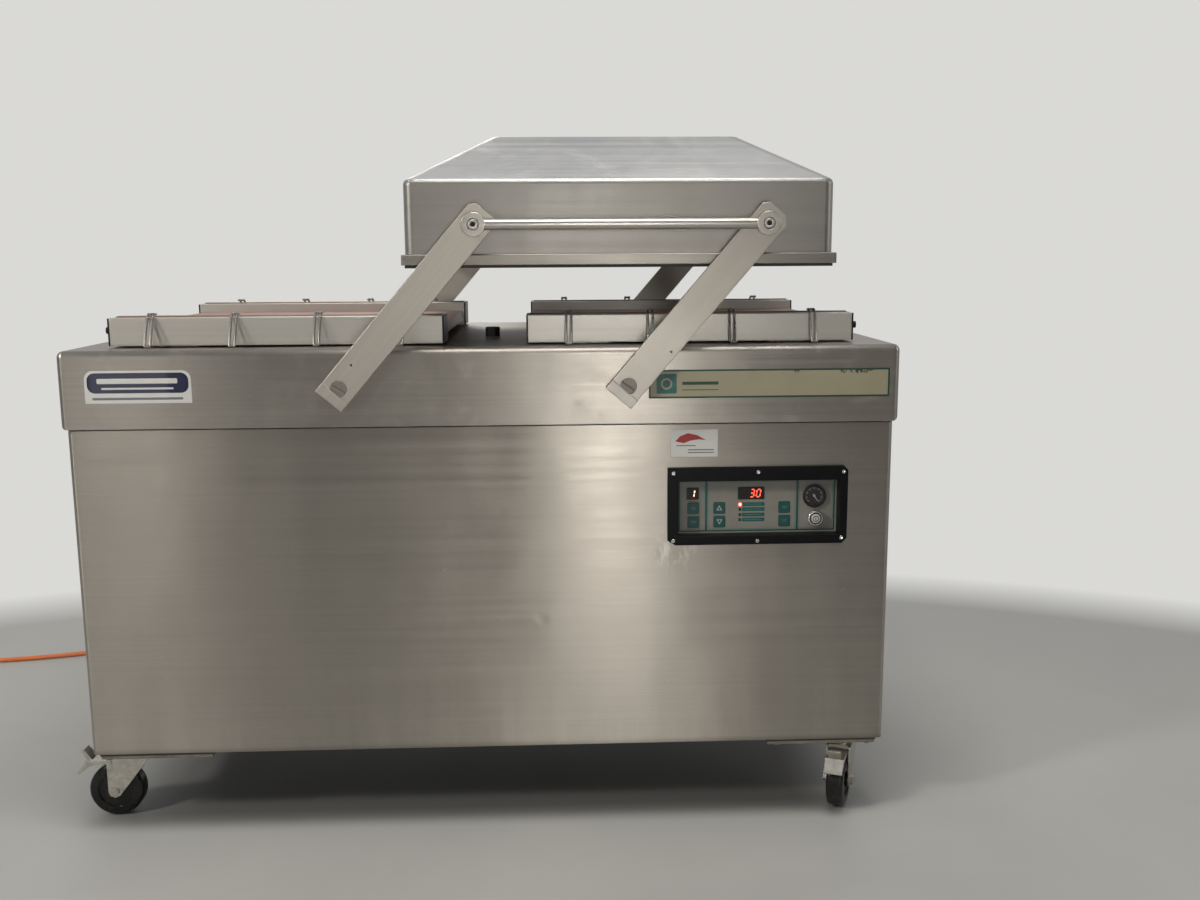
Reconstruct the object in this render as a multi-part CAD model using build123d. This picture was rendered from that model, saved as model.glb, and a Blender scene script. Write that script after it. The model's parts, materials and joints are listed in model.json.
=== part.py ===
from build123d import *
import os
from math import sin, cos, tan, radians, degrees, pi, sqrt, hypot

# Double-chamber vacuum sealer with a swing-over lid, on a wheeled cabinet.
# Millimetres, +Z up, +X to the operator's right, +Y away from the operator.
# The geometry is written in a design frame (x = 0 on the machine's middle,
# y = 0 on the front face of the worktop head, z = 0 on the floor) and every
# solid is moved by (-OX, -OY) when it is written, so that the frame's origin
# is on the floor under the middle of the machine's own bounding box.
OX, OY = -25.0, 368.75

# ---------------------------------------------------------------- dimensions
CAB_W, CAB_Y0, CAB_Y1 = 1430.0, 7.0, 745.0      # cabinet sleeve
CAB_Z0, CAB_Z1 = 150.0, 736.5
SKIN = 1.5                                       # cabinet sheet
HEAD_W, HEAD_D, HEAD_Z0, HEAD_Z1 = 1444.0, 750.0, 739.0, 873.0
HEAD_T, HEAD_R = 2.0, 11.0
MID_Y = HEAD_D / 2

ARM_R = 361.0                                    # pivot to pivot
ARM_ANGLE = 40.6                                 # from vertical at rest
ARM_W, ARM_T, ARM_Y = 56.0, 10.0, -3.5           # width, thickness, back face
PIV_X, PIV_Z = 247.0, 806.0                      # lower pivots
SHAFT_R, SHAFT_HEAD_R = 12.0, 14.45
LID_X = ARM_R * sin(radians(ARM_ANGLE))
TOP_Z = PIV_Z + ARM_R * cos(radians(ARM_ANGLE))

LID_W, LID_Y0, LID_Y1 = 733.0, 12.5, 737.5       # lid walls
LID_Z0, LID_Z1, LID_Z2 = 1031.0, 1154.0, 1238.0  # wall foot, bend, plateau
LID_T, LID_INSET = 2.0, 146.0
RIM_W, RIM_Y0, RIM_Y1 = 744.0, 7.0, 743.0
RIM_Z0, GASKET_Z0, RIM_IN = 1013.0, 1008.0, 18.0

BAR_X0, BAR_X1 = 75.0, 649.0                     # seal bar housings
BAR_Y0, BAR_Y1, BAR_Z0, BAR_Z1 = 60.0, 142.0, 877.0, 925.0
BAR_LIFT = 8.0
CLIP_AT = (71.5, 215.0, 359.0, 502.5)

PANEL_X0, PANEL_X1, PANEL_Z0, PANEL_Z1 = 336.0, 622.5, 536.0, 635.0
FASCIA_Y = 27.0
KEY = 20.8
KEYS = {"key_mode_upper": (365.0, 581.5), "key_mode_lower": (365.5, 556.7),
        "key_up": (411.5, 581.5), "key_down": (412.0, 556.7),
        "key_stop_upper": (528.5, 581.5), "key_stop_lower": (529.0, 556.7)}
GAUGE = (582.0, 601.4, 20.0)
SWITCH = (583.5, 561.8, 14.0)

WHEEL_R, WHEEL_W, TRAIL, AXLE_Z = 50.0, 32.0, 40.0, 50.0
SWIVEL_X, SWIVEL_Y = 664.0, 92.0

CORD_D = 11.0


# ------------------------------------------------------------------- helpers
def box(x0, x1, y0, y1, z0, z1):
    return Pos((x0 + x1) / 2, (y0 + y1) / 2, (z0 + z1) / 2) * Box(x1 - x0, y1 - y0, z1 - z0)


def cyl_x(y, z, x0, x1, r):
    return Pos((x0 + x1) / 2, y, z) * Rot(0, 90, 0) * Cylinder(r, x1 - x0)


def cyl_y(x, z, y0, y1, r):
    return Pos(x, (y0 + y1) / 2, z) * Rot(90, 0, 0) * Cylinder(r, y1 - y0)


def cyl_z(x, y, z0, z1, r):
    return Pos(x, y, (z0 + z1) / 2) * Cylinder(r, z1 - z0)


def rrect(w, d, r, z):
    return Plane.XY.offset(z) * RectangleRounded(w, d, r)


def prism_z(w, d, r, z0, z1, cx=0.0, cy=0.0):
    return Pos(cx, cy, 0) * extrude(rrect(w, d, r, z0), z1 - z0)


def poly_xz(pts, y0, y1):
    face = make_face(Polyline(*[(x, z) for x, z in pts], close=True))
    solid = extrude(face, y1 - y0)               # sketch plane XY, along +Z
    return Pos(0, y1, 0) * Rot(90, 0, 0) * solid


def soften(part, edges, radii):
    for r in radii:
        try:
            out = fillet(edges, r)
            if out.is_valid:
                return out
        except Exception:
            pass
    print("fillet left out on", len(edges), "edges")
    return part


NODES = {}


def add(name, *solids):
    flat = []
    for s in solids:
        flat.extend(list(s.solids()))
    NODES[name] = flat


def mirror_y(s):
    """The same piece at the back of the machine."""
    return mirror(s, Plane.XZ.offset(-MID_Y))


# ------------------------------------------------------- cabinet and its skin
def sleeve(y0, y1):
    outer = prism_z(CAB_W, CAB_Y1 - CAB_Y0, 10, CAB_Z0, CAB_Z1, 0, (CAB_Y0 + CAB_Y1) / 2)
    inner = prism_z(CAB_W - 2 * SKIN, CAB_Y1 - CAB_Y0 - 2 * SKIN, 10 - SKIN,
                    CAB_Z0 - 1, CAB_Z1 + 1, 0, (CAB_Y0 + CAB_Y1) / 2)
    return (outer - inner) & box(-800, 800, y0, y1, 0, 900)


front = sleeve(0, 47)
front = front + box(-CAB_W / 2 + 12, CAB_W / 2 - 12, CAB_Y0 + SKIN - 0.2, CAB_Y0 + 22, CAB_Z0, CAB_Z0 + SKIN)
front = front - box(PANEL_X0 - 4, PANEL_X1 + 4, 0, 20, PANEL_Z0 - 4, PANEL_Z1 + 4)
add("front_panel", front)
add("side_panels", *sleeve(47.6, 709.4).solids())
rear = sleeve(710, 800)
for i in range(9):
    z = 470 + i * 18
    for x in (-430, 430):
        rear = rear - box(x - 90, x + 90, 740, 750, z, z + 6)
GLAND_X, GLAND_Z = -590.0, 235.0
rear = rear - cyl_y(GLAND_X, GLAND_Z, 735, 750, 12.6)
add("rear_panel", rear)

# welded base: tray with turned-up edges, four corner angles, cross bearers,
# castor pads and bearers that carry the head
frame_ = box(-711, 711, 11, 741, 153, 156)
frame_ = frame_ + (box(-711, 711, 11, 741, 156, 196) - box(-708, 708, 14, 738, 155, 200))
for sx in (-1, 1):
    for y0, y1, yl in ((14, 50, 14), (702, 738, 735)):
        x0, x1 = (-708, -672) if sx < 0 else (672, 708)
        xl = -708 if sx < 0 else 705
        frame_ = frame_ + box(x0, x1, yl, yl + 3, 156, 734) + box(xl, xl + 3, y0, y1, 156, 734)
for y in (14, 708):
    frame_ = frame_ + box(-708, 708, y, y + 30, 731, 734)
for x in (-708, 678):
    frame_ = frame_ + box(x, x + 30, 14, 738, 731, 734)
for sx in (-1, 1):
    for y in (SWIVEL_Y, HEAD_D - SWIVEL_Y):
        x0, x1 = sorted((sx * (SWIVEL_X - 162), sx * (SWIVEL_X + 42)))
        frame_ = frame_ + box(x0, x1, y - 44, y + 46, 145.2, 153.1)
# U-shaped pump rails on the tray
for y in (290, 460):
    frame_ = frame_ + box(-480, 320, y - 20, y + 20, 156, 176)
add("base_frame", frame_)

# ------------------------------------------------------------------- the head
def head_block(inset):
    w, d = HEAD_W - 2 * inset, HEAD_D - 2 * inset
    h = HEAD_Z1 - HEAD_Z0 - 2 * inset
    r = HEAD_R - inset
    b = Pos(0, MID_Y, (HEAD_Z0 + HEAD_Z1) / 2) * Box(w, d, h)
    vert = b.edges().filter_by(Axis.Z)
    top = b.edges().group_by(Axis.Z)[-1]
    low = b.edges().group_by(Axis.Z)[0].filter_by(Axis.Y)
    try:
        out = fillet(list(vert) + list(top) + list(low), r)
        if out.is_valid and abs(out.volume - b.volume) < 0.05 * b.volume:
            return out
    except Exception:
        pass
    print("head block from two profiles")
    a = Plane.XZ.offset(-HEAD_D) * Pos(0, (HEAD_Z0 + HEAD_Z1) / 2) * RectangleRounded(w, h, r)
    a = extrude(a, 2 * HEAD_D, both=True)
    return b & a


head = head_block(0) - head_block(HEAD_T)
head = head - box(-HEAD_W / 2 + 14, HEAD_W / 2 - 14, 16, HEAD_D - 16, HEAD_Z0 - 1, HEAD_Z0 + HEAD_T + 1)
PORT = (2.0, 292.0)
head = head - cyl_z(PORT[0], PORT[1], 865, 880, 9)
for sx in (-1, 1):
    for y0, y1 in ((-5, 5), (745, 755)):
        head = head - cyl_y(sx * PIV_X, PIV_Z, y0, y1, 16)
add("worktop_head", head)

bearings, springs = [], []
for sx in (-1, 1):
    b = box(sx * PIV_X - 30, sx * PIV_X + 30, HEAD_T + 0.2, 27, PIV_Z - 30, PIV_Z + 30)
    b = b + cyl_y(sx * PIV_X, PIV_Z, -1.5, HEAD_T + 0.3, 15.5) - cyl_y(sx * PIV_X, PIV_Z, -5, 40, SHAFT_R + 0.05)
    bearings += [b, mirror_y(b)]
    # torsion spring wound on the through shaft, with its two tails
    helix = Helix(pitch=9.0, height=81.0, radius=27.0, center=(0, 0, 0), direction=(0, 0, 1))
    prof = Plane(origin=helix @ 0, z_dir=helix % 0) * Circle(3.0)
    coil = sweep(prof, path=helix, is_frenet=True)
    springs.append(Pos(sx * PIV_X, 45, PIV_Z) * Rot(-90, 0, 0) * coil)
add("shaft_bearings", *bearings)
add("counterbalance_springs", *springs)

# --------------------------------------------------------------- swing arms
def arm_local(hole_top, cut, small):
    """Flat arm drawn upright in XZ: lower pivot at (0, 0), upper at (0, ARM_R).
    cut is the chamfer of its outer top corner, small the place of a 4 mm hole."""
    h = ARM_W / 2
    pts = [(-h, -27), (h, -27), (h, ARM_R + 30 - cut), (h - cut, ARM_R + 30), (-h + 9, ARM_R + 30), (-h, ARM_R + 20)]
    a = poly_xz(pts, ARM_Y - ARM_T, ARM_Y)
    a = a - cyl_y(0, 0, -60, 20, SHAFT_HEAD_R + 0.05) - cyl_y(0, ARM_R, -60, 20, hole_top)
    a = a - cyl_y(small[0], small[1], -60, 20, 2.0)
    clamp = box(-h, h, ARM_Y - ARM_T - 4, ARM_Y - ARM_T, -27, -9)
    return a + clamp


def place_arm(a, sx):
    return Pos(sx * PIV_X, 0, PIV_Z) * Rot(0, ARM_ANGLE, 0) * a


def shaft(sx):
    x, z = sx * PIV_X, PIV_Z
    s = cyl_y(x, z, ARM_Y + 0.0, HEAD_D - ARM_Y, SHAFT_R)
    h = cyl_y(x, z, ARM_Y - ARM_T + 0.05, ARM_Y + 0.01, SHAFT_HEAD_R)
    slot = Pos(x, ARM_Y - ARM_T, z) * Rot(0, 35, 0) * Box(40, 3.2, 2.2)
    h = h - slot
    return s + h + mirror_y(h)


for name, sx, r, cut, small in (("left", -1, 10.06, 3.0, (-9, 46)), ("right", 1, 10.5, 13.0, (17, 92))):
    a = place_arm(arm_local(r, cut, small), sx)
    add(name + "_arms", a, mirror_y(a))
    add(name + "_shaft", shaft(sx))

# ------------------------------------------------------------------- the lid
def lid_block(inset):
    w, d = LID_W - 2 * inset, LID_Y1 - LID_Y0 - 2 * inset
    slope = (LID_Z2 - LID_Z1) / LID_INSET
    drop = inset * sqrt(1 + slope * slope) - inset * slope if inset else 0.0
    z1 = LID_Z1 - drop
    z2 = LID_Z2 - inset
    run = (z2 - z1) / slope
    low = Pos(0, 0, 0) * extrude(rrect(w, d, 16 - inset, LID_Z0 - (1 if inset else 0)), z1 - LID_Z0 + (1 if inset else 0))
    s1 = rrect(w, d, 16 - inset, z1)
    s2 = rrect(w - 2 * run, d - 2 * run, 17 - inset, z2)
    roof = loft(Sketch() + [s1, s2], ruled=True)
    body = low + roof
    if not inset:
        ring1 = [e for e in body.edges() if abs(e.center().Z - LID_Z1) < 0.01 and e.bounding_box().size.Z < 0.01]
        body = soften(body, ring1, (11, 9, 7))
        ring2 = [e for e in body.edges() if abs(e.center().Z - LID_Z2) < 0.01 and e.bounding_box().size.Z < 0.01]
        body = soften(body, ring2, (8, 6, 4))
    return Pos(LID_X, MID_Y, 0) * body


lid = lid_block(0) - lid_block(LID_T)
lid_pivots = [(LID_X + s * PIV_X, TOP_Z) for s in (-1, 1)]
for px, pz in lid_pivots:
    b = cyl_y(px, pz, ARM_Y + 0.4, LID_Y0 + 1.0, 15) - cyl_y(px, pz, ARM_Y - 1, LID_Y0 - 0.5, 6.1)
    lid = lid + b + mirror_y(b)
# hangers that hold the counter bars under the roof
CB_Y0, CB_Y1, CB_Z0, CB_Z1 = 84.0, 118.0, 1074.0, 1094.0
for y0 in (LID_Y0 + LID_T - 0.3, ):
    for hx in (-300, 0, 300):
        hgr = box(LID_X + hx - 12, LID_X + hx + 12, y0, 106, CB_Z1, CB_Z1 + 4)
        lid = lid + hgr + mirror_y(hgr)
add("lid_shell", lid)


def ring(w, d, r, w2, d2, r2, z0, z1):
    return prism_z(w, d, r, z0, z1, LID_X, MID_Y) - prism_z(w2, d2, r2, z0 - 1, z1 + 1, LID_X, MID_Y)


RD = RIM_Y1 - RIM_Y0
rim = ring(RIM_W, RD, 4, RIM_W - 2 * RIM_IN, RD - 2 * RIM_IN, 6, RIM_Z0, LID_Z0)
rim = rim - ring(RIM_W - 9.6, RD - 9.6, 6.2, RIM_W - 28.4, RD - 28.4, 6, RIM_Z0 - 1, RIM_Z0 + 3.2)
rim = soften(rim, [e for e in rim.edges() if abs(e.center().Z - LID_Z0) < 0.01 and e.bounding_box().size.Z < 0.01
                   and (abs(e.center().X - LID_X) > RIM_W / 2 - 12 or abs(e.center().Y - MID_Y) > RD / 2 - 12)], (2.0, 1.2))
add("lid_rim", rim)
gasket = ring(RIM_W - 10, RD - 10, 6, RIM_W - 28, RD - 28, 6.2, GASKET_Z0, RIM_Z0 + 3)

counter = []
for m in (False, True):
    b = box(LID_X - 320, LID_X + 320, CB_Y0, CB_Y1, CB_Z0, CB_Z1) \
        - box(LID_X - 321, LID_X + 321, 93, 109, CB_Z0 - 1, CB_Z0 + 5)
    strip = box(LID_X - 319, LID_X + 319, 93.1, 108.9, CB_Z0 - 3.3, CB_Z0 + 4.9)
    counter += [mirror_y(b) if m else b, mirror_y(strip) if m else strip]
add("counter_bars", counter[0], counter[2])
add("lid_seals", gasket, counter[1], counter[3])   # rim gasket and the two pressing strips

# handle: rod between two rings that stand in front of the upper pivots
HY = -24.0
rings = [cyl_y(px, pz, -34, -14, 20) - cyl_y(px, pz, -40, -10, 10.06) for px, pz in lid_pivots]
rod = cyl_x(HY, TOP_Z, lid_pivots[0][0] + 15, lid_pivots[1][0] - 15, 9.25)
for px, pz in lid_pivots:
    rod = rod - cyl_y(px, pz, -40, -10, 12)
handle = rings[0] + rod + rings[1]
add("handle_bar", handle)


def pivot_screw(px, pz):
    s = cyl_y(px, pz, -30, ARM_Y - 0.1, 10) + cyl_y(px, pz, ARM_Y - 0.2, LID_Y0 - 1.2, 6.0)
    s = s + cyl_y(px, pz, -34.5, -29.9, 8.4)
    hexa = extrude(RegularPolygon(4.6, 6), 5)
    s = s - Pos(px, -29.8, pz) * Rot(90, 0, 0) * hexa
    return s


def rear_screw(px, pz):
    s = cyl_y(px, pz, HEAD_D - ARM_Y + 0.1, HEAD_D + 17, 10) \
        + cyl_y(px, pz, HEAD_D - LID_Y0 + 1.2, HEAD_D - ARM_Y + 0.2, 6.0)
    s = s + cyl_y(px, pz, HEAD_D + 14, HEAD_D + 22, 20)
    hexa = extrude(RegularPolygon(4.6, 6), 6)
    return s - Pos(px, HEAD_D + 22.1, pz) * Rot(90, 0, 0) * hexa


add("lid_pivot_screws", *[pivot_screw(*p) for p in lid_pivots], *[rear_screw(*p) for p in lid_pivots])

# --------------------------------------- seal bars, housings, clips, plates
housings, caps, lifts, clips = [], [], [], []


def housing():
    h = box(BAR_X0, BAR_X1, BAR_Y0, BAR_Y1, BAR_Z0, BAR_Z1)
    h = h - box(BAR_X0 - 1, BAR_X1 + 1, BAR_Y0 + 3, BAR_Y1 - 3, BAR_Z0 - 1, BAR_Z1 - 3)
    yc = (BAR_Y0 + BAR_Y1) / 2
    return h - box(BAR_X0 - 1, BAR_X1 + 1, yc - 13, yc + 13, BAR_Z0 - 1, BAR_Z1 + 1)


def end_caps():
    out = []
    for x0, x1 in ((BAR_X0 - 3, BAR_X0), (BAR_X1, BAR_X1 + 3)):
        out.append(box(x0, x1, BAR_Y0, BAR_Y1, BAR_Z0, BAR_Z1 - 0.4))
    # thumb screw that holds the bar down, on the outer end
    out[1] = out[1] + cyl_x((BAR_Y0 + BAR_Y1) / 2 - 20, 903, BAR_X1 + 2.9, BAR_X1 + 12, 6)
    return out


def lift_cylinders():
    yc = (BAR_Y0 + BAR_Y1) / 2
    out = []
    for x in (BAR_X0 + 110, BAR_X1 - 110):
        c = cyl_z(x, yc, HEAD_Z1, 891, 12.5) + box(x - 34, x + 34, yc - 12, yc + 12, HEAD_Z1, 877)
        out.append(c - cyl_z(x, yc, 875, 900, 8.06))
    return out


def seal_bar():
    yc = (BAR_Y0 + BAR_Y1) / 2
    b = box(BAR_X0 + 2, BAR_X1 - 2, yc - 11, yc + 11, 897, 926.5)
    top = [e for e in b.edges().filter_by(Axis.X) if e.center().Z > 926]
    b = soften(b, top, (2.0,))
    for x in (BAR_X0 + 110, BAR_X1 - 110):
        b = b + cyl_z(x, yc, 877, 899, 8)
    return b


CLIP_R, CLIP_GAP = 2.2, 9.0


def clip(x):
    """Closed loop of spring wire: two legs that run from a hook over the
    housing's upper edge, bow outward and meet again near the worktop."""
    legs = []
    for s in (-1, 1):
        xx = x + s * CLIP_GAP / 2
        pts = [(xx, BAR_Y0 + 16, 931.0), (xx, BAR_Y0 + 6, 931.5),
               (xx, BAR_Y0 - 3.4, 926.5), (xx, BAR_Y0 - 11.5, 911.0),
               (xx, BAR_Y0 - 19.5, 894.0), (xx, BAR_Y0 - 26.0, 877.0)]
        path = FilletPolyline(*pts, radius=4.0)
        prof = Plane(origin=path @ 0, z_dir=path % 0) * Circle(CLIP_R)
        legs.append(sweep(prof, path=path, transition=Transition.ROUND))
    foot = cyl_x(BAR_Y0 - 26.0, 877.2, x - CLIP_GAP / 2 - 0.4, x + CLIP_GAP / 2 + 0.4, CLIP_R)
    head = cyl_x(BAR_Y0 + 15.4, 931.0, x - CLIP_GAP / 2 - 0.4, x + CLIP_GAP / 2 + 0.4, CLIP_R)
    return legs[0] + legs[1] + foot + head


h1 = housing()
caps1 = end_caps()
lifts1 = lift_cylinders()
bar1 = seal_bar()
clips1 = [clip(BAR_X0 + a) for a in CLIP_AT]
MX = Plane.YZ                                    # left and right halves


def four(s):
    return [s, mirror(s, MX), mirror_y(s), mirror_y(mirror(s, MX))]


add("bar_housings", *four(h1))
add("bar_end_caps", *[q for c in caps1 for q in four(c)])
add("lift_cylinders", *[q for c in lifts1 for q in four(c)])
add("bag_clips", *[q for c in clips1 for q in four(c)])
add("right_front_seal_bar", bar1)
add("left_front_seal_bar", mirror(bar1, MX))
add("right_rear_seal_bar", mirror_y(bar1))
add("left_rear_seal_bar", mirror_y(mirror(bar1, MX)))

plates = []
for sx in (-1, 1):
    p = box(78, 645, BAR_Y1 + 1, HEAD_D - BAR_Y1 - 1, 887, 907)
    p = soften(p, [e for e in p.edges().filter_by(Axis.Z)], (4,))
    for x in (150, 360, 572):
        p = p + box(x - 15, x + 15, 180, 570, HEAD_Z1, 887)
    plates.append(p if sx > 0 else mirror(p, MX))
add("insert_plates", *plates)

cap = cyl_z(PORT[0], PORT[1], HEAD_Z1, HEAD_Z1 + 18, 14)
cap = soften(cap, [e for e in cap.edges() if abs(e.center().Z - HEAD_Z1 - 18) < 0.01], (2.5, 1.5))
cap = cap + cyl_z(PORT[0], PORT[1], HEAD_Z1 - 12, HEAD_Z1 + 0.01, 8.9)
add("port_cap", cap)

# -------------------------------------------------- vacuum system and drive
pump = box(-420, -60, 255, 495, 190, 395) + box(-400, -80, 300, 450, 176, 190)
pump = soften(pump, [e for e in pump.edges().filter_by(Axis.Z) if e.length > 150], (18, 12))
pump = pump + box(-300, -90, 265, 400, 395, 452) + cyl_z(-360, 330, 390, 440, 32)
for i in range(6):
    pump = pump - box(-390 + i * 34, -384 + i * 34, 420, 500, 300, 400)
add("vacuum_pump", pump)
motor = cyl_x(375, 292, -59.8, 190, 88)
for a in range(0, 360, 20):
    fin = Pos(0, 375, 292) * Rot(a, 0, 0) * box(-20, 150, -2, 2, 86, 97)
    motor = motor + fin
motor = motor + box(10, 110, 305, 445, 375, 418) + box(0, 150, 300, 450, 176, 215)
add("pump_motor", motor)

hose_pts = [(-360, 330, 440), (-360, 330, 560), (-300, 345, 660), (-150, 330, 700), (-40, 300, 730),
            (PORT[0], PORT[1], 800), (PORT[0], PORT[1], 860.5)]
path = FilletPolyline(*hose_pts, radius=[60, 60, 60, 50, 30])
hp = Plane(origin=path @ 0, z_dir=path % 0)
hose = sweep(hp * Circle(19), path=path) - sweep(hp * Circle(14.5), path=path)
add("vacuum_hose", hose)

add("electrical_units", box(330, 640, 72, 190, 545, 690), box(400, 540, 520, 660, 156, 290))
add("castor_plates", *[])

# --------------------------------------------------------- control panel
bx0, bx1, bz0, bz1 = 316.5, 636.5, 520.0, 660.0
bz = poly_xz([(bx0, bz0 + 9), (bx0 + 14, bz0), (bx1 - 9, bz0), (bx1, bz0 + 9),
              (bx1, bz1 - 8), (bx1 - 8, bz1), (bx0, bz1)], CAB_Y0 - 4.2, CAB_Y0 - 0.2)
collar = box(PANEL_X0 - 3, PANEL_X1 + 3, CAB_Y0 - 1, FASCIA_Y, PANEL_Z0 - 3, PANEL_Z1 + 3)
bz = bz + collar - box(PANEL_X0, PANEL_X1, -5, 40, PANEL_Z0, PANEL_Z1)
screw_at = [(326.5, 650), (476.5, 650.5), (628.0, 649.5), (326.5, 528.5), (476.5, 526.5), (626.5, 530.0)]
for x, z in screw_at:
    bz = bz - cyl_y(x, z, 0, 10, 1.9)
add("control_bezel", bz)

screws = []
for x, z in screw_at:
    s = cyl_y(x, z, CAB_Y0 - 6.0, CAB_Y0 - 4.2, 3.3) + cyl_y(x, z, CAB_Y0 - 4.3, CAB_Y0 - 0.3, 1.8)
    s = s - Pos(x, CAB_Y0 - 4.9, z) * Rot(90, 0, 0) * extrude(RegularPolygon(1.9, 6), 2)
    screws.append(s)
for x in (-640, -320, 0, 320, 640):
    for z in (185, 705):
        screws.append(cyl_y(x, z, CAB_Y1, CAB_Y1 + 2.5, 5) - Pos(x, CAB_Y1 + 2.5, z) * Box(12, 1.6, 1.4))
add("panel_screws", *screws)

fascia = box(PANEL_X0 - 3, PANEL_X1 + 3, FASCIA_Y + 0.05, FASCIA_Y + 3, PANEL_Z0 - 3, PANEL_Z1 + 3)
for n, (x, z) in KEYS.items():
    hole = Pos(x, FASCIA_Y + 1.5, z) * Rot(90, 0, 0) * extrude(RectangleRounded(KEY + 0.6, KEY + 0.6, 2.8), 5, both=True)
    fascia = fascia - hole
    back = Pos(x, FASCIA_Y + 2.2, z) * Rot(90, 0, 0) * extrude(RectangleRounded(KEY, KEY, 2.5), 2.8)
    add(n, back)
fascia = fascia - cyl_y(GAUGE[0], GAUGE[1], 20, 40, GAUGE[2] - 1.5) - cyl_y(SWITCH[0], SWITCH[1], 20, 40, SWITCH[2] - 2.5)
add("control_fascia", fascia)

gx, gz, gr = GAUGE
case = cyl_y(gx, gz, FASCIA_Y - 5, FASCIA_Y, gr + 0.7) + cyl_y(gx, gz, FASCIA_Y - 1, FASCIA_Y + 24, gr - 1.8)
case = case - cyl_y(gx, gz, FASCIA_Y - 10, FASCIA_Y + 1.6, gr - 2.4) - cyl_y(gx, gz, FASCIA_Y - 10, FASCIA_Y - 3, gr - 1.5)
case = case + cyl_y(gx, gz, FASCIA_Y + 23.5, FASCIA_Y + 38, 6)
case = case - cyl_y(gx, gz, FASCIA_Y, FASCIA_Y + 5, 1.05)
add("gauge_case", case)
add("gauge_lens", cyl_y(gx, gz, FASCIA_Y - 4.6, FASCIA_Y - 3.0, gr - 1.55))
# needle: points down to the right at rest (no vacuum), turns 250 degrees
NEEDLE_A = 146.0                                 # clockwise from straight up
nd = poly_xz([(-1.1, -4.5), (1.1, -4.5), (0.9, 5), (0.15, 14.2), (-0.15, 14.2), (-0.9, 5)], FASCIA_Y - 1.2, FASCIA_Y - 0.5)
nd = nd + cyl_y(0, 0, FASCIA_Y - 1.6, FASCIA_Y + 1.5, 2.2) + cyl_y(0, 0, FASCIA_Y + 1, FASCIA_Y + 4.5, 1.0)
add("gauge_needle", Pos(gx, 0, gz) * Rot(0, NEEDLE_A, 0) * nd)

wx, wz, wr = SWITCH
sb = cyl_y(wx, wz, FASCIA_Y - 10, FASCIA_Y + 0.02, wr) + cyl_y(wx, wz, FASCIA_Y, FASCIA_Y + 22, wr - 2.8)
sb = soften(sb, [e for e in sb.edges() if abs(e.center().Y - FASCIA_Y + 10) < 0.01], (2.0, 1.0))
sb = sb - cyl_y(wx, wz, FASCIA_Y - 20, FASCIA_Y + 14, 8.4)
add("switch_bezel", sb)
btn = cyl_y(wx, wz, FASCIA_Y - 11.5, FASCIA_Y + 8, 8.0)
btn = soften(btn, [e for e in btn.edges() if e.center().Y < FASCIA_Y - 11], (1.0,))
add("switch_button", btn)

# ------------------------------------------------------------------ castors
def castor(cx, cy, heading, brake):
    """Swivel castor. Local frame: swivel axis at x = 0, wheel towards +X."""
    place = Pos(cx, cy, 0) * Rot(0, 0, heading)
    side = 1 if cx > 0 else -1
    plate = box(min(-164 * side, 38 * side), max(-164 * side, 38 * side), -50, 50, 140, 145)
    for px in (-140 * side, 27 * side):
        for py in (-37, 37):
            plate = plate + Pos(px, py, 136.0) * extrude(RegularPolygon(7.5, 6), 4.1)
    plate = plate + cyl_z(0, 0, 127.5, 140.1, 31) - cyl_z(0, 0, 120, 146, 9.06)
    plate = Pos(cx, cy, 0) * plate
    fork = cyl_z(0, 0, 117, 127, 33) + cyl_z(0, 0, 126.9, 140, 9)
    fork = fork + box(-24, 45, -22.5, 22.5, 114, 118)
    leg = [(52, 118), (52, 50), (49, 41.5), (40, 38), (31, 41.5), (-24, 112), (-24, 118)]
    for y0 in (-22.5, 19.0):
        fork = fork + poly_xz(leg, y0, y0 + 3.5)
    fork = fork - cyl_y(TRAIL, AXLE_Z, -30, 30, 5.05)
    if brake:
        fork = fork - cyl_y(45, 107, -30, 30, 3.06)
    axle = cyl_y(TRAIL, AXLE_Z, -26, 26, 5.0)
    for y0 in (-27.5, 22.6):
        axle = axle + Pos(TRAIL, y0 + 4.9, AXLE_Z) * Rot(90, 0, 0) * extrude(RegularPolygon(8.5, 6), 4.9)
    wheel = cyl_y(TRAIL, AXLE_Z, -WHEEL_W / 2, WHEEL_W / 2, WHEEL_R)
    wheel = soften(wheel, [e for e in wheel.edges() if e.geom_type == GeomType.CIRCLE], (7, 5))
    for s in (-1, 1):
        wheel = wheel - (cyl_y(TRAIL, AXLE_Z, s * 16 - 3, s * 16 + 3, 33) - cyl_y(TRAIL, AXLE_Z, -30, 30, 14))
    wheel = wheel + cyl_y(TRAIL, AXLE_Z, -18.5, 18.5, 14) - cyl_y(TRAIL, AXLE_Z, -30, 30, 5.1)
    pedal = None
    if brake:
        prof = [(38, 103.2), (62, 102.4), (84, 99), (104, 84), (108, 86.5), (94, 104), (92, 109.5), (38, 109.5)]
        pedal = poly_xz(prof, -17, 17)
        hollow = [(48, 101), (62, 100), (82, 97), (88, 106.2), (48, 106.2)]
        pedal = pedal - poly_xz(hollow, -14, 14)
        pedal = pedal + poly_xz([(80, 109), (90, 109), (101, 127), (95.5, 129)], -12, 12)
        pedal = pedal + cyl_y(45, 107, -24.5, 24.5, 3.0)
    return plate, [place * fork, place * axle], place * wheel, (place * pedal if brake else None)


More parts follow.
